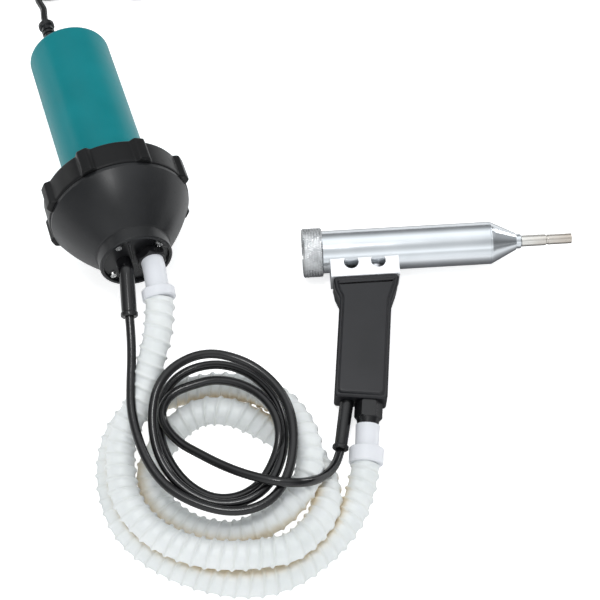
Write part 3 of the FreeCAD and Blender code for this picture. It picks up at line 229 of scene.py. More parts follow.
def coilPoints(spec):
    # columns of turns from the inside out: each turn holds its level and steps in its last fifth
    turns = spec["lanes"] * spec["layers"] - spec["shortOfLast"]
    t = np.arange(0, turns, 1.0 / spec["perTurn"])
    whole = np.floor(t)
    ease = np.clip((t - whole - 0.8) / 0.2, 0, 1)
    column = whole // spec["layers"]
    level = whole % spec["layers"]
    last = level == spec["layers"] - 1
    step = np.where(last, 0.0, ease)
    down = column % 2 == 0
    depth = np.where(down, level + step, spec["layers"] - 1 - level - step)
    outwards = np.where(last & (column < spec["lanes"] - 1), ease, 0.0)
    radius = spec["inner"] + spec["laneStep"] * (column + outwards)
    angle = 2 * math.pi * t
    x, y = spec["coilAt"]
    return list(zip(x + radius * np.cos(angle), y + radius * np.sin(angle),
                    spec["top"] - spec["layerStep"] * depth))


def gridMesh(name, points, closeAround=True, closeAlong=False, uv=None):
    # a grid of rows (along) by columns (around) becomes quads; either way can close on itself
    rows, cols = points.shape[:2]
    i = np.arange(rows if closeAlong else rows - 1)
    j = np.arange(cols if closeAround else cols - 1)
    a, b = np.meshgrid(i, j, indexing="ij")
    a2, b2 = (a + 1) % rows, (b + 1) % cols
    quads = np.stack([a * cols + b, a * cols + b2, a2 * cols + b2, a2 * cols + b], -1).reshape(-1, 4)
    mesh = bpy.data.meshes.new(name)
    mesh.from_pydata(points.reshape(-1, 3).tolist(), [], quads.tolist())
    if uv is not None:
        layer = mesh.uv_layers.new(name="UVMap")
        across = np.stack([b, b + 1, b + 1, b], -1).reshape(-1) / cols
        along = uv[np.stack([a, a, a + 1, a + 1], -1).reshape(-1)]
        layer.data.foreach_set("uv", np.c_[along, across].astype(np.float32).ravel())
    obj = bpy.data.objects.new(name, mesh)
    bpy.context.scene.collection.objects.link(obj)
    return obj


def tidyMesh(obj, smoothAngle=40.0):
    # merges doubled points, closes what is open, turns faces outwards and shades smooth below an angle
    bm = bmesh.new()
    bm.from_mesh(obj.data)
    bmesh.ops.remove_doubles(bm, verts=bm.verts, dist=1e-7)
    bmesh.ops.dissolve_degenerate(bm, edges=bm.edges, dist=1e-8)
    edges = [e for e in bm.edges if e.is_boundary]
    if edges:
        bmesh.ops.holes_fill(bm, edges=edges, sides=0)
    bmesh.ops.recalc_face_normals(bm, faces=bm.faces)
    for face in bm.faces:
        face.smooth = True
    for edge in bm.edges:
        if len(edge.link_faces) == 2:
            edge.smooth = edge.calc_face_angle(0) < math.radians(smoothAngle)
    bm.to_mesh(obj.data)
    bm.free()
    return obj


def revolve(name, profile, matrix, around=96, radiusAt=None):
    # a profile of (radius, height) turned about local z; radiusAt may vary the radius with the angle
    profile = np.array(profile, float)
    angle = np.linspace(0, 2 * math.pi, around, endpoint=False)
    radius = np.repeat(profile[:, :1], around, axis=1)
    if radiusAt is not None:
        radius = radiusAt(radius, profile[:, 1:2], angle[None])
    height = np.repeat(profile[:, 1:], around, axis=1)
    points = np.stack([radius * np.cos(angle), radius * np.sin(angle), height], -1)
    return gridMesh(name, placePoints(points, matrix))


def alongPath(path, radii, around, phase=0.0):
    # rings of the given radii square to a path; the ring's frame keeps one side level
    tangent = np.gradient(path, axis=0)
    tangent /= np.linalg.norm(tangent, axis=1, keepdims=True)
    side = np.cross(tangent, (0.0, 0.0, 1.0))
    side /= np.linalg.norm(side, axis=1, keepdims=True)
    up = np.cross(side, tangent)
    angle = np.linspace(0, 2 * math.pi, around, endpoint=False)[None, :, None] + phase
    outwards = np.cos(angle) * side[:, None] + np.sin(angle) * up[:, None]
    return path[:, None] + radii[:, :, None] * outwards


def resample(path, stations):
    # points at the given distances along a path, by straight lines between its points
    run = np.r_[0, np.cumsum(np.linalg.norm(np.diff(path, axis=0), axis=1))]
    return np.stack([np.interp(stations, run, path[:, k]) for k in range(3)], -1)


def smoothNoise(count, step, seed):
    # a slow random wave of about one value for each step, between -1 and 1
    values = np.random.default_rng(seed).uniform(-1, 1, int(count / step) + 4)
    at = np.arange(count) / step
    low = np.floor(at).astype(int)
    f = at - low
    f = f * f * (3 - 2 * f)
    return values[low] * (1 - f) + values[low + 1] * f


def makeHose(spec):
    # ribbed soft hose: one narrow rounded ridge winds round it as a helix, over a slightly uneven wall
    guide = splineCurve("hoseLine", spec["points"], spec["diameter"], 16)
    line = routeOf(guide)
    bpy.data.objects.remove(guide)
    total = lengthOf(line)
    ribs = int(round(total * 1000 / spec["pitch"]))
    at = np.linspace(0, ribs, ribs * spec["perRib"] + 1)
    path = resample(line, at / ribs * total)
    angle = np.linspace(0, 2 * math.pi, spec["around"], endpoint=False)
    height = np.interp((at[:, None] - angle / (2 * math.pi)) % 1, spec["ridgeAt"], spec["ridgeLift"])
    uneven = 1 + spec["uneven"] * smoothNoise(len(at), 17, 5)[:, None]
    ridge = height * uneven * (spec["crest"] - spec["valley"])
    oval = spec["oval"] * np.cos(2 * angle + 2.5 * smoothNoise(len(at), 60, 8)[:, None])
    folds = np.sin(5 * angle + 9 * smoothNoise(len(at), 14, 3)[:, None])
    pucker = spec["pucker"] * folds * (1 - height)
    radii = np.minimum(spec["valley"] + ridge + oval + pucker, spec["crest"] + spec["over"]) * 0.001
    obj = gridMesh("hose", alongPath(path, radii, spec["around"]), uv=at / 10.0)
    tidyMesh(obj, 70)
    rib = obj.data.attributes.new("rib", "FLOAT", "POINT")
    rib.data.foreach_set("value", height.ravel().astype(np.float32)[:len(obj.data.vertices)])
    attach(obj, "set")
    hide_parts("hose_blower_lead", "hose_coil", "hose_torch_lead")
    return obj


def makeCable(name, points, diameter, replaced, fineness, **facts):
    # a smooth round cord along its points, which leaves the casing at the first of them
    obj = splineCurve(name, points, diameter, fineness)
    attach(obj, "set")
    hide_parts(*replaced)
    total = lengthOf(routeOf(obj))
    print(name, "is", round(total, 3), "m long")
    return obj


def makeTie(spec, clear=(3.3, 2.2), lift=0.1, squareness=0.45, floorGap=0.05):
    # a soft strap round the coil's section: a superellipse in the plane through the coil's axis
    angle, width, thick = spec["tieAngle"], spec["tieWidth"], spec["tieThick"]
    reach, height = (spec["lanes"] - 1) * spec["laneStep"] / 2, spec["top"] / 2
    half = np.array([reach + clear[0], height + clear[1]])
    turn = np.linspace(0, 2 * math.pi, 48, endpoint=False)
    ring = np.c_[np.cos(turn), np.sin(turn)]
    loop = np.sign(ring) * np.abs(ring) ** squareness * half
    middle = np.array([spec["inner"] + reach, height + clear[1] + lift])
    out = loop / np.linalg.norm(loop, axis=1, keepdims=True)
    radial = np.array([math.cos(angle), math.sin(angle), 0])
    across = np.array([-math.sin(angle), math.cos(angle), 0])
    rows = []
    for grow, off in ((0, -width / 2), (thick, -width / 2), (thick, width / 2), (0, width / 2)):
        edge = loop + middle + out * grow
        rows.append(edge[:, :1] * radial + edge[:, 1:] * np.array([0, 0, 1.0]) + across * off)
    points = np.stack(rows, 1) + (*spec["coilAt"], 0)
    points[:, :, 2] = np.maximum(points[:, :, 2], floorGap)
    obj = gridMesh("coilTie", points * 0.001, closeAlong=True)
    tidyMesh(obj)
    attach(obj, "set")
    return obj


plugSections = [  # x, half width, half height and squareness of each section, from the cord to the face
    (-180.0, 3.4, 3.4, 1.0), (-179.4, 4.2, 4.2, 1.0), (-176.6, 4.2, 4.2, 1.0), (-176.2, 3.5, 3.5, 1.0),
    (-175.0, 3.5, 3.5, 1.0), (-174.6, 4.4, 4.4, 1.0), (-171.8, 4.6, 4.5, 1.0), (-171.4, 3.9, 3.9, 1.0),
    (-170.2, 4.0, 4.0, 0.95), (-169.8, 5.0, 4.8, 0.9), (-167.0, 5.6, 5.2, 0.85), (-165.6, 6.6, 6.0, 0.75),
    (-162.0, 8.2, 7.0, 0.65), (-157.0, 9.6, 7.5, 0.6), (-152.0, 10.4, 7.7, 0.55), (-147.0, 11.6, 7.7, 0.5),
    (-142.0, 12.8, 7.7, 0.5), (-138.5, 13.6, 7.7, 0.5), (-135.0, 13.8, 7.7, 0.5), (-131.2, 13.8, 7.7, 0.5),
    (-130.3, 13.4, 7.3, 0.5), (-130.0, 12.8, 6.7, 0.5)]


def makePlug(sections, y=250.0, z=7.75, around=64):
    # rounded sections set one after another along x; each is a superellipse of its own squareness
    rows = np.array(sections)[:, :, None]
    angle = np.linspace(0, 2 * math.pi, around, endpoint=False)[None]
    side, lift = np.cos(angle), np.sin(angle)
    across = np.sign(side) * np.abs(side) ** rows[:, 3] * rows[:, 1]
    height = np.sign(lift) * np.abs(lift) ** rows[:, 3] * rows[:, 2]
    points = np.stack([np.broadcast_to(rows[:, 0], across.shape), y + across, z + height], -1) * 0.001
    obj = tidyMesh(gridMesh("plugBody", points), 35)
    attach(obj, "set")
    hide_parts("mains_plug")
    return obj


hose = makeHose(hoseSpec)
plugBody = makePlug(plugSections)
torchCable = makeCable("torchCable", torchCableSpec["points"], torchCableSpec["diameter"],
                       ("cable_blower_lead", "cable_coil", "cable_torch_lead"), 10,
                       far_end="object", lay="loose")
coilTie = makeTie(mainsSpec)
mainsCable = makeCable("mainsCable", mainsSpec["lead"] + coilPoints(mainsSpec) + mainsSpec["tail"],
                       mainsSpec["diameter"], ("mains_lead", "mains_coil"), 4, far_end="plug", lay="coiled",
                       with_pieces=[plugBody, nodes["plug_pins"], coilTie])
print("cords made")


# finishes
def newGroup(name, inputs, outputs):
    # a node group with its named sockets, and the nodes at its two ends
    group = bpy.data.node_groups.new(name, "ShaderNodeTree")
    for label, kind, value in inputs:
        socket = group.interface.new_socket(label, in_out="INPUT", socket_type=kind)
        if value is not None:
            socket.default_value = value
    for label in outputs:
        group.interface.new_socket(label, in_out="OUTPUT", socket_type="NodeSocketFloat")
    return group, group.nodes.new("NodeGroupInput"), group.nodes.new("NodeGroupOutput")


def addNode(tree, kind, settings=None, **inputs):
    # a node with its inputs set or linked: i0 and i1 go by place, the others by name with _ for a space
    node = tree.nodes.new(kind)
    for key, value in (settings or {}).items():
        setattr(node, key, value)
    for key, value in inputs.items():
        byPlace = key[0] == "i" and key[1:].isdigit()
        socket = node.inputs[int(key[1:]) if byPlace else key.replace("_", " ")]
        if isinstance(value, bpy.types.NodeSocket):
            tree.links.new(value, socket)
        else:
            socket.default_value = value
    return node


def mathNode(tree, operation, a, b=0.0):
    # one step of arithmetic on two values
    return addNode(tree, "ShaderNodeMath", {"operation": operation}, i0=a, i1=b).outputs[0]


def makeGrain():
    # fine moulded grain for the height, and a slow cloud for the tone
    sockets = [("Vector", "NodeSocketVector", None), ("Scale", "NodeSocketFloat", 900.0),
               ("Cloud", "NodeSocketFloat", 30.0)]
    group, src, out = newGroup("mouldedGrain", sockets, ["Height", "Tone"])
    vector = src.outputs["Vector"]
    fine = addNode(group, "ShaderNodeTexNoise", Vector=vector, Scale=src.outputs["Scale"], Detail=3.0)
    cloud = addNode(group, "ShaderNodeTexNoise", Vector=vector, Scale=src.outputs["Cloud"], Detail=4.0)
    group.links.new(fine.outputs["Fac"], out.inputs["Height"])
    group.links.new(cloud.outputs["Fac"], out.inputs["Tone"])
    return group


def makeMarks():
    # rubbed streaks: noise stretched one way and kept only where it peaks
    sockets = [("Vector", "NodeSocketVector", None), ("Scale", "NodeSocketFloat", 60.0),
               ("Threshold", "NodeSocketFloat", 0.62)]
    group, src, out = newGroup("rubMarks", sockets, ["Mask"])
    stretch = addNode(group, "ShaderNodeVectorMath", {"operation": "MULTIPLY"}, i0=src.outputs["Vector"],
                      i1=(1.0, 7.0, 7.0))
    noise = addNode(group, "ShaderNodeTexNoise", Vector=stretch.outputs[0], Scale=src.outputs["Scale"],
                    Detail=5.0)
    rise = mathNode(group, "SUBTRACT", noise.outputs["Fac"], src.outputs["Threshold"])
    sharp = addNode(group, "ShaderNodeMath", {"operation": "MULTIPLY", "use_clamp": True}, i0=rise, i1=9.0)
    group.links.new(sharp.outputs[0], out.inputs["Mask"])
    return group


def makeLathe():
    # turning lines: noise that changes fast along local x only
    sockets = [("Vector", "NodeSocketVector", None), ("Scale", "NodeSocketFloat", 3000.0)]
    group, src, out = newGroup("turningLines", sockets, ["Height"])
    squeeze = addNode(group, "ShaderNodeVectorMath", {"operation": "MULTIPLY"}, i0=src.outputs["Vector"],
                      i1=(1.0, 0.02, 0.02))
    noise = addNode(group, "ShaderNodeTexNoise", Vector=squeeze.outputs[0], Scale=src.outputs["Scale"],
                    Detail=2.0)
    group.links.new(noise.outputs["Fac"], out.inputs["Height"])
    return group


grainGroup, marksGroup, latheGroup = makeGrain(), makeMarks(), makeLathe()
barrelTurn = (0.0, 0.0, -math.radians(torch["heading"]))  # brings the pattern's x along the barrel


def useGroup(tree, group, **inputs):
    # places a shared effect with this material's own values
    node = tree.nodes.new("ShaderNodeGroup")
    node.node_tree = group
    for key, value in inputs.items():
        if isinstance(value, bpy.types.NodeSocket):
            tree.links.new(value, node.inputs[key])
        else:
            node.inputs[key].default_value = value
    return node


def startMaterial(name, turn=(0, 0, 0)):
    # a material with its shader, and the object's own coordinates turned as asked
    material = bpy.data.materials.new(name)
    material.use_nodes = True
    tree = material.node_tree
    shader = tree.nodes["Principled BSDF"]
    place = addNode(tree, "ShaderNodeTexCoord")
    mapped = addNode(tree, "ShaderNodeMapping", Vector=place.outputs["Object"], Rotation=turn)
    return material, tree, shader, mapped.outputs[0]


def mixColours(tree, fac, a, b):
    # a share of the way from colour a to colour b
    node = addNode(tree, "ShaderNodeMix", {"data_type": "RGBA"})
    for socket, value in ((node.inputs[0], fac), (node.inputs[6], a), (node.inputs[7], b)):
        if isinstance(value, bpy.types.NodeSocket):
            tree.links.new(value, socket)
        else:
            socket.default_value = value
    return node.outputs[2]


def rangeOf(tree, value, low, high, fromLow=0.3, fromHigh=0.7):
    # maps a value from one range to another in a straight line, and holds it at the ends
    return addNode(tree, "ShaderNodeMapRange", Value=value, From_Min=fromLow, From_Max=fromHigh, To_Min=low,
                   To_Max=high).outputs[0]


def moulded(name, dark, light, rough, grain=900.0, bump=0.06, marks=0.0, soft=0.0, cloud=30.0, sheen=0.5,
            soften=0.0005):
    # moulded plastic or rubber: cloudy colour, uneven gloss, fine grain and a few rubbed streaks
    material, tree, shader, at = startMaterial(name)
    pattern = useGroup(tree, grainGroup, Vector=at, Scale=grain, Cloud=cloud)
    tone = rangeOf(tree, pattern.outputs["Tone"], 0.0, 1.0)
    colour = mixColours(tree, tone, (*dark, 1), (*light, 1))
    gloss = rangeOf(tree, pattern.outputs["Tone"], rough[0], rough[1])
    if marks:
        streak = useGroup(tree, marksGroup, Vector=at, Scale=45.0, Threshold=0.6)
        worn = mathNode(tree, "MULTIPLY", streak.outputs["Mask"], marks)
        gloss = mathNode(tree, "ADD", gloss, worn)
    tree.links.new(colour, shader.inputs["Base Color"])
    tree.links.new(gloss, shader.inputs["Roughness"])
    edge = addNode(tree, "ShaderNodeBevel", {"samples": 4}, Radius=soften)
    ridge = addNode(tree, "ShaderNodeBump", Height=pattern.outputs["Height"], Strength=bump, Distance=0.0004,
                    Normal=edge.outputs[0])
    tree.links.new(ridge.outputs[0], shader.inputs["Normal"])
    shader.inputs["Specular IOR Level"].default_value = sheen
    shader.inputs["Subsurface Weight"].default_value = soft
    shader.inputs["Subsurface Radius"].default_value = (0.004, 0.004, 0.004)
    return material


def metal(name, dark, light, rough, lines=0.0, turn=(0, 0, 0), marks=0.1, lineScale=3000.0, cloud=25.0,
          soften=0.0003):
    # bare metal: slightly cloudy tint and gloss, rubbed streaks, and turning lines where it was turned
    material, tree, shader, at = startMaterial(name, turn)
    pattern = useGroup(tree, grainGroup, Vector=at, Scale=1500.0, Cloud=cloud)
    streak = useGroup(tree, marksGroup, Vector=at, Scale=80.0, Threshold=0.6)
    tone = rangeOf(tree, pattern.outputs["Tone"], 0.0, 1.0)
    tree.links.new(mixColours(tree, tone, (*dark, 1), (*light, 1)), shader.inputs["Base Color"])
    gloss = rangeOf(tree, pattern.outputs["Tone"], rough[0], rough[1])
    worn = mathNode(tree, "MULTIPLY", streak.outputs["Mask"], marks)
    tree.links.new(mathNode(tree, "ADD", gloss, worn), shader.inputs["Roughness"])
    turned = useGroup(tree, latheGroup, Vector=at, Scale=lineScale)
    edge = addNode(tree, "ShaderNodeBevel", {"samples": 4}, Radius=soften)
    ridge = addNode(tree, "ShaderNodeBump", Height=turned.outputs["Height"], Strength=lines, Distance=0.0002,
                    Normal=edge.outputs[0])
    tree.links.new(ridge.outputs[0], shader.inputs["Normal"])
    shader.inputs["Metallic"].default_value = 1.0
    return material


def hoseMaterial():
    # white soft plastic: painted cream shade where walls lie close together, cooler elsewhere, and painted
    # faint grey shade on the ridge
    material, tree, shader, at = startMaterial("hoseWhite")
    pattern = useGroup(tree, grainGroup, Vector=at, Scale=700.0, Cloud=22.0)
    rib = addNode(tree, "ShaderNodeAttribute", {"attribute_name": "rib"})
    tone = rangeOf(tree, pattern.outputs["Tone"], 0.0, 1.0)
    base = mixColours(tree, tone, (0.74, 0.77, 0.765, 1), (0.82, 0.84, 0.84, 1))
    # painted shade: faint grey painted on the ridge stands in for its shading
    edge = rangeOf(tree, rib.outputs["Fac"], 0.0, 0.35, 0.5, 1.0)
    wall = mixColours(tree, edge, base, (0.62, 0.63, 0.60, 1))
    # painted shade: ambient occlusion paints cream into the colour where walls lie close together
    shadeByNearness = addNode(tree, "ShaderNodeAmbientOcclusion", {"samples": 6, "only_local": True}, Distance=0.016)
    paintedGapShade = rangeOf(tree, shadeByNearness.outputs["AO"], 1.0, 0.0, 0.15, 0.7)
    tree.links.new(mixColours(tree, paintedGapShade, wall, (0.80, 0.71, 0.55, 1)), shader.inputs["Base Color"])
    tree.links.new(rangeOf(tree, pattern.outputs["Tone"], 0.34, 0.5), shader.inputs["Roughness"])
    ridge = addNode(tree, "ShaderNodeBump", Height=pattern.outputs["Height"], Strength=0.05, Distance=0.0004)
    tree.links.new(ridge.outputs[0], shader.inputs["Normal"])
    shader.inputs["Subsurface Weight"].default_value = 0.2
    shader.inputs["Subsurface Radius"].default_value = (0.008, 0.008, 0.007)
    return material


def heatedSteel():
    # nozzle steel: straw and brown heat colours that deepen towards the open end
    material, tree, shader, at = startMaterial("nozzleSteel", barrelTurn)
    split = addNode(tree, "ShaderNodeSeparateXYZ", Vector=at)
    along = rangeOf(tree, split.outputs["X"], 0.0, 1.0, 0.170, 0.212)
    pattern = useGroup(tree, grainGroup, Vector=at, Scale=1500.0, Cloud=180.0)
    uneven = mathNode(tree, "MULTIPLY", mathNode(tree, "SUBTRACT", pattern.outputs["Tone"], 0.5), 0.5)
    heat = mathNode(tree, "ADD", along, uneven)
    colour = mixColours(tree, heat, (0.74, 0.73, 0.70, 1), (0.52, 0.46, 0.40, 1))
    tree.links.new(colour, shader.inputs["Base Color"])
    tree.links.new(rangeOf(tree, pattern.outputs["Tone"], 0.22, 0.4), shader.inputs["Roughness"])
    turned = useGroup(tree, latheGroup, Vector=at, Scale=2500.0)
    ridge = addNode(tree, "ShaderNodeBump", Height=turned.outputs["Height"], Strength=0.15, Distance=0.0002)
    tree.links.new(ridge.outputs[0], shader.inputs["Normal"])
    shader.inputs["Metallic"].default_value = 1.0
    return material


finishes = {  # dark and light colour, then how rough from its glossiest to its dullest
    "tealPlastic": moulded("tealPlastic", (0.002, 0.190, 0.214), (0.003, 0.215, 0.242), (0.30, 0.38),
                           marks=0.1, sheen=0.15),
    "blackCasing": moulded("blackCasing", (0.009, 0.0095, 0.0105), (0.015, 0.0155, 0.017), (0.30, 0.40),
                           marks=0.1, sheen=0.36),
    "ringPlastic": moulded("ringPlastic", (0.005, 0.0052, 0.0056), (0.009, 0.0092, 0.0098), (0.28, 0.40),
                           marks=0.12, sheen=0.2),
    "gripPlastic": moulded("gripPlastic", (0.006, 0.006, 0.008), (0.011, 0.011, 0.014), (0.30, 0.40),
                           bump=0.1, marks=0.08, sheen=0.4, soften=0.0008),
    "blackPlastic": moulded("blackPlastic", (0.006, 0.006, 0.007), (0.011, 0.011, 0.012), (0.24, 0.36),
                            sheen=0.4),
    "switchPlastic": moulded("switchPlastic", (0.008, 0.008, 0.009), (0.014, 0.014, 0.015), (0.15, 0.25)),
    "cuffPlastic": moulded("cuffPlastic", (0.72, 0.735, 0.77), (0.80, 0.81, 0.845), (0.3, 0.42), soft=0.2),
    "cableRubber": moulded("cableRubber", (0.004, 0.004, 0.0045), (0.007, 0.007, 0.008), (0.14, 0.22),
                           cloud=60.0),
    "hoseWhite": hoseMaterial(),
    "foam": moulded("foam", (0.05, 0.05, 0.055), (0.1, 0.1, 0.1), (0.8, 0.95), grain=1200.0, bump=0.8),
    "screwSteel": metal("screwSteel", (0.55, 0.55, 0.55), (0.72, 0.72, 0.72), (0.2, 0.32)),
    "motorSteel": metal("motorSteel", (0.3, 0.3, 0.31), (0.42, 0.42, 0.43), (0.35, 0.5)),
    "copper": metal("copper", (0.55, 0.24, 0.12), (0.72, 0.36, 0.2), (0.3, 0.45)),
    "carbon": moulded("carbon", (0.03, 0.03, 0.03), (0.06, 0.06, 0.06), (0.6, 0.8)),
    "fanAluminium": metal("fanAluminium", (0.6, 0.61, 0.63), (0.75, 0.76, 0.78), (0.35, 0.5)),
    "barrelSteel": metal("barrelSteel", (0.64, 0.67, 0.70), (0.72, 0.75, 0.78), (0.17, 0.23),
                         lines=0.03, turn=barrelTurn, marks=0.05, lineScale=2200.0),
    "capSteel": metal("capSteel", (0.36, 0.37, 0.38), (0.66, 0.67, 0.68), (0.2, 0.34),
                      turn=barrelTurn, marks=0.2, cloud=140.0),
    "bracketAluminium": metal("bracketAluminium", (0.80, 0.81, 0.83), (0.88, 0.89, 0.91), (0.36, 0.48),
                              lines=0.06, turn=barrelTurn, lineScale=900.0),
    "nozzleSteel": heatedSteel(),
    "ceramic": moulded("ceramic", (0.6, 0.57, 0.5), (0.8, 0.77, 0.7), (0.6, 0.8)),
    "board": moulded("board", (0.012, 0.012, 0.012), (0.03, 0.03, 0.028), (0.3, 0.5)),
    "brass": metal("brass", (0.6, 0.55, 0.42), (0.75, 0.7, 0.55), (0.2, 0.32)),
}
nodeFinish = {
    "tealPlastic": ["motor_housing"],
    "blackCasing": ["fan_housing"],
    "ringPlastic": ["union_ring"],
    "blackPlastic": ["rocker_frame", "motor_flange", "end_plate", "outlet_nut", "outlet_spigot",
                     "motor_end_bracket", "rear_cover", "temperature_knob", "hose_nut"],
    "switchPlastic": ["rocker"],
    "gripPlastic": ["left_grip_half", "right_grip_half"],
    "cuffPlastic": ["blower_hose_cuff", "torch_hose_cuff", "slip_washer"],
    "cableRubber": ["mains_boot", "blower_cable_boot", "torch_cable_boot", "mains_plug", "mains_lead",
                    "mains_coil", "cable_blower_lead", "cable_coil", "cable_torch_lead"],
    "hoseWhite": ["hose_blower_lead", "hose_coil", "hose_torch_lead"],
    "foam": ["filter_foam"],
    "screwSteel": ["plate_screws", "cap_set_screws", "grip_screws"],
    "motorSteel": ["filter_screen", "motor_shaft", "armature_core", "stator_core", "rear_bearing",
                   "front_bearing", "potentiometer", "heat_shield"],
    "copper": ["commutator", "field_coils"],
    "carbon": ["carbon_brushes"],
    "fanAluminium": ["diffuser", "rear_impeller", "front_impeller", "air_duct"],
    "barrelSteel": ["barrel_tube", "nose_cone"],
    "capSteel": ["rear_cap"],
    "bracketAluminium": ["saddle_bracket"],
    "nozzleSteel": ["nozzle", "heating_wire"],
    "ceramic": ["heater_core", "mica_sleeve"],
    "board": ["control_board"],
    "brass": ["brush_holders", "plug_pins"],
}


def dress(obj, finish):
    # the finish goes into every slot that the piece has, or into a new one
    if obj.material_slots:
        for slot in obj.material_slots:
            slot.material = finishes[finish]
    else:
        obj.data.materials.append(finishes[finish])


for finish, names in nodeFinish.items():
    for name in names:
        dress(nodes[name], finish)
for piece in (torchCable, mainsCable, coilTie, plugBody):
    dress(piece, "cableRubber")
dress(hose, "hoseWhite")
print("finishes made")

# knurled cap, in millimetres along the barrel
capSpec = {"radius": 18.7, "back": -1.5, "front": 13.4, "bore": 14.5, "barrel": 16.25, "coverAt": 6.0,
           "chamfer": 0.9, "teeth": 88, "depth": 0.32, "lead": 1.33, "around": 440, "rows": 44}


def makeCap(spec):
    # a ring whose wall is cut by two crossing sets of fine grooves between plain chamfered edges
    r, c, back, front = spec["radius"], spec["chamfer"], spec["back"], spec["front"]
    low, high = back + c + 0.35, front - c - 0.35
    outer = [(spec["bore"], back), (r - c, back), (r - 0.12, back + c - 0.1), (r, back + c)]
    outer += [(r, z) for z in np.linspace(low, high, spec["rows"])]
    outer += [(r, front - c), (r - 0.12, front - c + 0.1), (r - c, front)]
    outer += [(spec["barrel"], front), (spec["barrel"], spec["coverAt"]), (spec["bore"], spec["coverAt"])]

    def knurl(radius, z, angle):
        on = (radius > r - 0.01) & (z > low - 0.05) & (z < high + 0.05)
        turn, slope = spec["teeth"] / 2 * angle, z / spec["lead"]
        ripple = np.abs(np.sin(turn + slope)) * np.abs(np.sin(turn - slope))
        return np.where(on, radius - spec["depth"] * (1 - ripple), radius)

    return tidyMesh(revolve("knurledCap", outer + outer[:1], alongBarrel, spec["around"], knurl), 50)


knurledCap = makeCap(capSpec)
dress(knurledCap, "capSteel")
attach(knurledCap, "set")
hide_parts("rear_cap")
print("cap made")


# barrel, cone and bracket, in millimetres along the barrel
barrelSpec = {"radius": 16.2, "bore": 15.0, "from": 8.05, "to": 140.8, "edge": 0.12}
coneSpec = {"shoulder": 16.2, "from": 140.8, "lip": 1.2, "tip": 161.4, "tipR": 6.5, "neckR": 5.6,
            "neckEnd": 165.4, "plug": 14.95, "plugLength": 5.3, "inner": 13.4, "bore": 2.3, "spigotR": 3.2,
            "spigotEnd": 179.0}
bracketSpec = {"from": 18.5, "to": 70.0, "base": -26.5, "top": -4.0, "half": 11.5, "wall": 2.0, "corner": 1.5,
               "saddle": 16.25, "windowR": 5.5, "windowY": -14.7, "windows": (34.2, 54.6),
               "cutTo": (5.0, 14.0, 100.0)}


def corner(r, s, radius, start):
    # a quarter circle that rounds the corner of a profile, started at the given angle
    angle = np.radians(start + np.linspace(0, 90, 6))
    return [(r + radius * math.cos(a), s + radius * math.sin(a)) for a in angle]


def prism(name, outline, low, high, matrix):
    # an outline in local x and y, drawn out along local z
    outline = np.array(outline, float)
    rows = [np.c_[outline, np.full(len(outline), level)] for level in (low, high)]
    return tidyMesh(gridMesh(name, placePoints(np.array(rows), matrix)))


def circle(radius, at=(0.0, 0.0), around=64):
    # points round a centre, radius times cosine and sine
    angle = np.linspace(0, 2 * math.pi, around, endpoint=False)
    return np.c_[at[0] + radius * np.cos(angle), at[1] + radius * np.sin(angle)]


def cutBy(obj, tools):
    # takes the tools away from a piece and keeps only what is left
    for tool in tools:
        step = obj.modifiers.new("cut", "BOOLEAN")
        step.operation, step.solver, step.object = "DIFFERENCE", "EXACT", tool
    bpy.context.view_layer.update()
    left = bpy.data.meshes.new_from_object(obj.evaluated_get(bpy.context.evaluated_depsgraph_get()))
    obj.modifiers.clear()
    obj.data = left
    for tool in tools:
        bpy.data.objects.remove(tool)
    return tidyMesh(obj, 30)


def makeBarrel(spec):
    # a plain tube whose outer edges are just broken
    r, b, e = spec["radius"], spec["bore"], spec["edge"]
    profile = [(b, spec["from"]), (r - e, spec["from"]), (r, spec["from"] + e)]
    profile += [(r, z) for z in np.linspace(spec["from"] + 1, spec["to"] - 1, 12)]
    profile += [(r, spec["to"] - e), (r - e, spec["to"]), (b, spec["to"]), (b, spec["from"])]
    return tidyMesh(revolve("barrelShell", profile, alongBarrel, 144))


def makeCone(spec):
    # a plug inside the barrel, a short shoulder, a straight flank, the neck and the spigot
    start, plugStart = spec["from"], spec["from"] - spec["plugLength"]
    profile = [(spec["bore"], spec["tip"] - 4), (spec["inner"], start - 1), (spec["inner"], plugStart),
               (spec["plug"], plugStart), (spec["plug"], start), (spec["shoulder"] - 0.1, start),
               (spec["shoulder"], start + 0.1), (spec["shoulder"], start + spec["lip"] - 0.15),
               (spec["shoulder"] - 0.15, start + spec["lip"] + 0.15)]
    flank = np.linspace(0.03, 1, 10)
    profile += [(spec["shoulder"] * (1 - f) + spec["tipR"] * f,
                 (start + spec["lip"]) * (1 - f) + spec["tip"] * f) for f in flank]
    profile += [(spec["neckR"], spec["tip"]), (spec["neckR"], spec["neckEnd"] - 0.6),
                (spec["neckR"] - 0.6, spec["neckEnd"]), (spec["spigotR"], spec["neckEnd"]),
                (spec["spigotR"], spec["spigotEnd"]), (spec["bore"], spec["spigotEnd"]),
                (spec["bore"], spec["tip"] - 4)]
    return tidyMesh(revolve("coneShell", profile, alongBarrel, 144), 25)


def makeBracket(spec):
    # a folded channel with closed ends: the barrel lies in it, and its windows reach up to the barrel
    x0, x1, base, half, wall, c = (spec[key] for key in ("from", "to", "base", "half", "wall", "corner"))
    above, aside, beyond = spec["cutTo"]  # how far the cutting shapes reach past the wall
    section = [(half, spec["top"]), (-half, spec["top"])]
    section += corner(-half + c, base + c, c, 180) + corner(half - c, base + c, c, 270)
    body = prism("bracketShell", section, x0, x1, alongBarrel)
    hollow = [(x0 + wall, base + wall), (x1 - wall, base + wall), (x1 - wall, above), (x0 + wall, above)]
    tools = [prism("hollow", hollow, wall - half, half - wall, onTorch),
             prism("saddle", circle(spec["saddle"], around=128), 0.0, beyond, alongBarrel)]
    tools += [prism("window", circle(spec["windowR"], (x, spec["windowY"])), -aside, aside, onTorch)
              for x in spec["windows"]]
    return cutBy(body, tools)


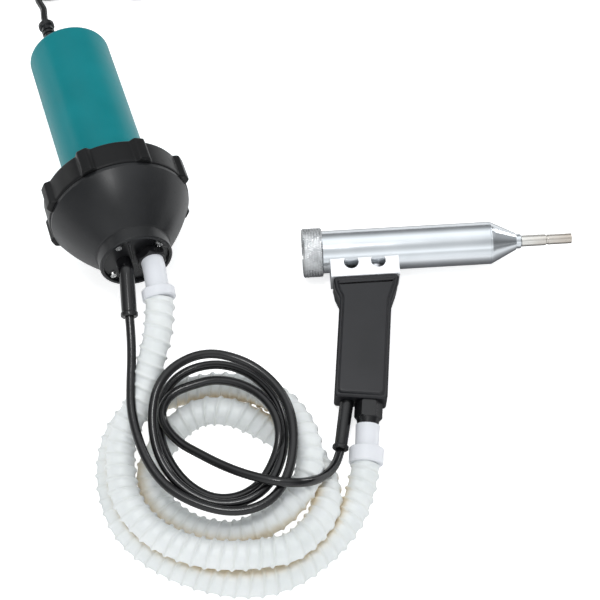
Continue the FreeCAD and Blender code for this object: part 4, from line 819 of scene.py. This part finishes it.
for piece, stands, finish, slotName in (
        (makeBarrel(barrelSpec), "barrel_tube", "barrelSteel", "barrel_steel"),
        (makeCone(coneSpec), "nose_cone", "barrelSteel", "barrel_steel"),
        (makeBracket(bracketSpec), "saddle_bracket", "bracketAluminium", "bracket_aluminium")):
    dress(piece, finish)
    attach(piece, "set")
    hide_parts(stands)
print("barrel, cone and bracket made")


# raised panel on the grip: the head's corners, then the shaft by its rake
panelSpec = {"top": (42.75, -44.0), "rake": -7.3, "half": 19.25, "from": 2.0, "to": 79.5, "round": 3.0,
             "head": [(20.7, -36.55), (19.5, -26.55), (69.8, -26.55), (66.6, -36.55)],
             "rows": [(2.0, 11.2), (2.3, 11.7), (2.6, 12.4), (2.9, 12.9), (3.3, 13.25), (3.8, 13.4),
                      (4.4, 13.42)]}  # how far in from the outline, and how high


def insetBy(outline, distance):
    # moves each side of a clockwise outline inwards by the distance: mitres at its points
    before, after = outline - np.roll(outline, 1, 0), np.roll(outline, -1, 0) - outline
    n1, n2 = (np.c_[e[:, 1], -e[:, 0]] / np.linalg.norm(e, axis=1, keepdims=True) for e in (before, after))
    mitre = 1 + np.sum(n1 * n2, axis=1, keepdims=True)
    return outline + distance * (n1 + n2) / mitre


def rounded(outline, radius, steps=6):
    # each corner becomes a parabola that starts and ends at the radius from it
    t = np.linspace(0, 1, steps)[None, :, None]
    before, after = np.roll(outline, 1, 0) - outline, np.roll(outline, -1, 0) - outline
    a, b = (outline + e / np.linalg.norm(e, axis=1, keepdims=True) * radius for e in (before, after))
    arcs = (1 - t) ** 2 * a[:, None] + 2 * t * (1 - t) * outline[:, None] + t ** 2 * b[:, None]
    return arcs.reshape(-1, 2)


def makePanel(spec):
    # follows the whole side of the grip, head and shaft, with a rounded shoulder
    turn, half = math.radians(spec["rake"]), spec["half"]
    across, up = np.array([math.cos(turn), math.sin(turn)]), np.array([-math.sin(turn), math.cos(turn)])
    shaft = [spec["top"] + u * across - v * up for u, v in
             ((half, spec["from"]), (half, spec["to"]), (-half, spec["to"]), (-half, spec["from"]))]
    outline = np.array([*spec["head"], *shaft])
    rows = []
    for inset, level in spec["rows"]:
        edge = rounded(insetBy(outline, inset), spec["round"])
        rows.append(np.c_[edge, np.full(len(edge), level)])
    return tidyMesh(gridMesh("gripPanel", placePoints(np.array(rows), onTorch)), 40)


gripPanel = makePanel(panelSpec)
dress(gripPanel, "gripPlastic")
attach(gripPanel, "set")
print("grip panel made")


# union ring, in millimetres from the blower's far end
ringSpec = {"from": 150.0, "to": 171.0, "valley": 52.9, "rise": 3.53, "count": 8, "phase": 16.5, "flat": 3.0,
            "flank": 4.4, "edge": 1.6, "bore": 49.55, "lipAt": 153.0, "lipBore": 45.0, "face": 48.0,
            "plain": (153.0, 168.0), "around": 720}


def makeRing(spec):
    # a ring with a lip inside and evenly spaced lugs outside, whose flanks ease into the valleys
    r, e = spec["valley"], spec["edge"]
    profile = [(spec["lipBore"], spec["from"]), (spec["face"], spec["from"])]
    profile += corner(r - e, spec["from"] + e, e, -90) + [(r, s) for s in np.linspace(*spec["plain"], 6)]
    profile += corner(r - e, spec["to"] - e, e, 0)
    profile += [(spec["bore"], spec["to"]), (spec["bore"], spec["lipAt"]), (spec["lipBore"], spec["lipAt"]),
                (spec["lipBore"], spec["from"])]
    step = 360.0 / spec["count"]

    def lugs(radius, s, angle):
        off = np.abs((np.degrees(angle) - spec["phase"] + step / 2) % step - step / 2)
        fade = 1 - np.clip((off - spec["flat"]) / spec["flank"], 0, 1)
        rise = spec["rise"] * fade * fade * (3 - 2 * fade)
        return np.where(radius > r - e - 0.01, radius + rise, radius)

    return tidyMesh(revolve("lobedRing", profile, onBlower, spec["around"], lugs), 35)


lobedRing = makeRing(ringSpec)
dress(lobedRing, "ringPlastic")
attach(lobedRing, "union_ring")
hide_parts("union_ring")
print("ring made")


# floor and light
def makeFloor(half=3.0, level=-0.0002):
    # a pale square that glows evenly; glossy rays from close above it see it painted dark, a painted contact
    # shadow in what mirrors it
    mesh = bpy.data.meshes.new("floor")
    corners = [(-half, -half, level), (half, -half, level), (half, half, level), (-half, half, level)]
    mesh.from_pydata(corners, [], [(0, 1, 2, 3)])
    obj = bpy.data.objects.new("floor", mesh)
    bpy.context.scene.collection.objects.link(obj)
    material, tree, shader, at = startMaterial("paleFloor")
    pattern = useGroup(tree, grainGroup, Vector=at, Scale=60.0, Cloud=2.0)
    tone = rangeOf(tree, pattern.outputs["Tone"], 0.0, 1.0)
    ray = addNode(tree, "ShaderNodeLightPath")
    # painted shade: the floor's colour and glow turn dark for glossy rays that meet it close to a piece
    shadeByNearness = rangeOf(tree, ray.outputs["Ray Length"], 0.9, 0.3, 0.02, 0.085)
    paintedReflectionShade = mathNode(tree, "MULTIPLY", shadeByNearness, ray.outputs["Is Glossy Ray"])
    pale = mixColours(tree, tone, (0.90, 0.90, 0.90, 1), (0.92, 0.92, 0.92, 1))
    tree.links.new(mixColours(tree, paintedReflectionShade, pale, (0.02, 0.02, 0.025, 1)), shader.inputs["Base Color"])
    glow = mixColours(tree, paintedReflectionShade, (1, 1, 1, 1), (0.0, 0.0, 0.0, 1))
    tree.links.new(glow, shader.inputs["Emission Color"])
    shader.inputs["Roughness"].default_value = 0.6
    shader.inputs["Specular IOR Level"].default_value = 0.2
    shader.inputs["Emission Strength"].default_value = 0.62
    mesh.materials.append(material)


lights = [  # name, place, aim, size in metres, power in watts
    ("leftLight", (-1.40, 0.75, 0.30), (-0.05, -0.05, 0.02), 0.35, 0.9),
    ("rightLight", (1.20, 1.00, 0.30), (0.0, -0.05, 0.02), 0.35, 3.2),
    ("overheadLight", (-0.15, -0.1, 1.6), (-0.05, -0.05, 0.0), 0.3, 5.0),
]


def makeLights(rows):
    # each square lamp turns its face from its place to its aim
    for name, at, aim, size, power in rows:
        data = bpy.data.lights.new(name, "AREA")
        data.shape = "SQUARE"
        data.size = size
        data.energy = power
        lamp = bpy.data.objects.new(name, data)
        bpy.context.scene.collection.objects.link(lamp)
        back = np.array(at) - np.array(aim)
        back /= np.linalg.norm(back)
        right = np.cross((0, 0, 1), back)
        right /= np.linalg.norm(right)
        matrix = np.eye(4)
        matrix[:3, 0], matrix[:3, 1], matrix[:3, 2], matrix[:3, 3] = right, np.cross(back, right), back, at
        lamp.matrix_world = Matrix(matrix.tolist())


skyBands = [  # degrees from the front horizon up and over, and how bright the studio is there
    (0, 0.95), (13, 0.88), (25, 0.66), (36, 1.25), (48, 0.85), (60, 0.60), (72, 0.56), (82, 0.66), (92, 0.82),
    (104, 1.05), (116, 1.22), (128, 1.20), (141, 0.80), (155, 0.36), (172, 0.20), (180, 0.22)]


def makeSky(bands, strength=1.24, sides=0.3):
    # brightness follows the angle over the set, atan2(up, towards the front), and falls to the sides
    world = bpy.data.worlds.new("studio")
    world.use_nodes = True
    tree = world.node_tree
    place = addNode(tree, "ShaderNodeTexCoord")
    split = addNode(tree, "ShaderNodeSeparateXYZ", Vector=place.outputs["Generated"])
    front = mathNode(tree, "MULTIPLY", split.outputs["Y"], -1.0)
    angle = mathNode(tree, "ARCTAN2", mathNode(tree, "MAXIMUM", split.outputs["Z"], 0.0), front)
    ramp = tree.nodes.new("ShaderNodeValToRGB")
    tree.links.new(mathNode(tree, "DIVIDE", angle, math.pi), ramp.inputs["Fac"])
    stops = ramp.color_ramp.elements
    for index, (degrees, value) in enumerate(bands):
        stop = stops[0] if index == 0 else stops[-1] if index == len(bands) - 1 else stops.new(degrees / 180)
        stop.position = degrees / 180
        stop.color = (value * 0.96, value * 0.985, value, 1)
    back = tree.nodes["Background"]
    tree.links.new(ramp.outputs["Color"], back.inputs["Color"])
    aside = mathNode(tree, "ABSOLUTE", split.outputs["X"])
    tree.links.new(rangeOf(tree, aside, strength, strength * sides, 0.4, 0.85), back.inputs["Strength"])
    bpy.context.scene.world = world


makeFloor()
makeLights(lights)
makeSky(skyBands)
print("floor and light set")

bpy.context.view_layer.update()
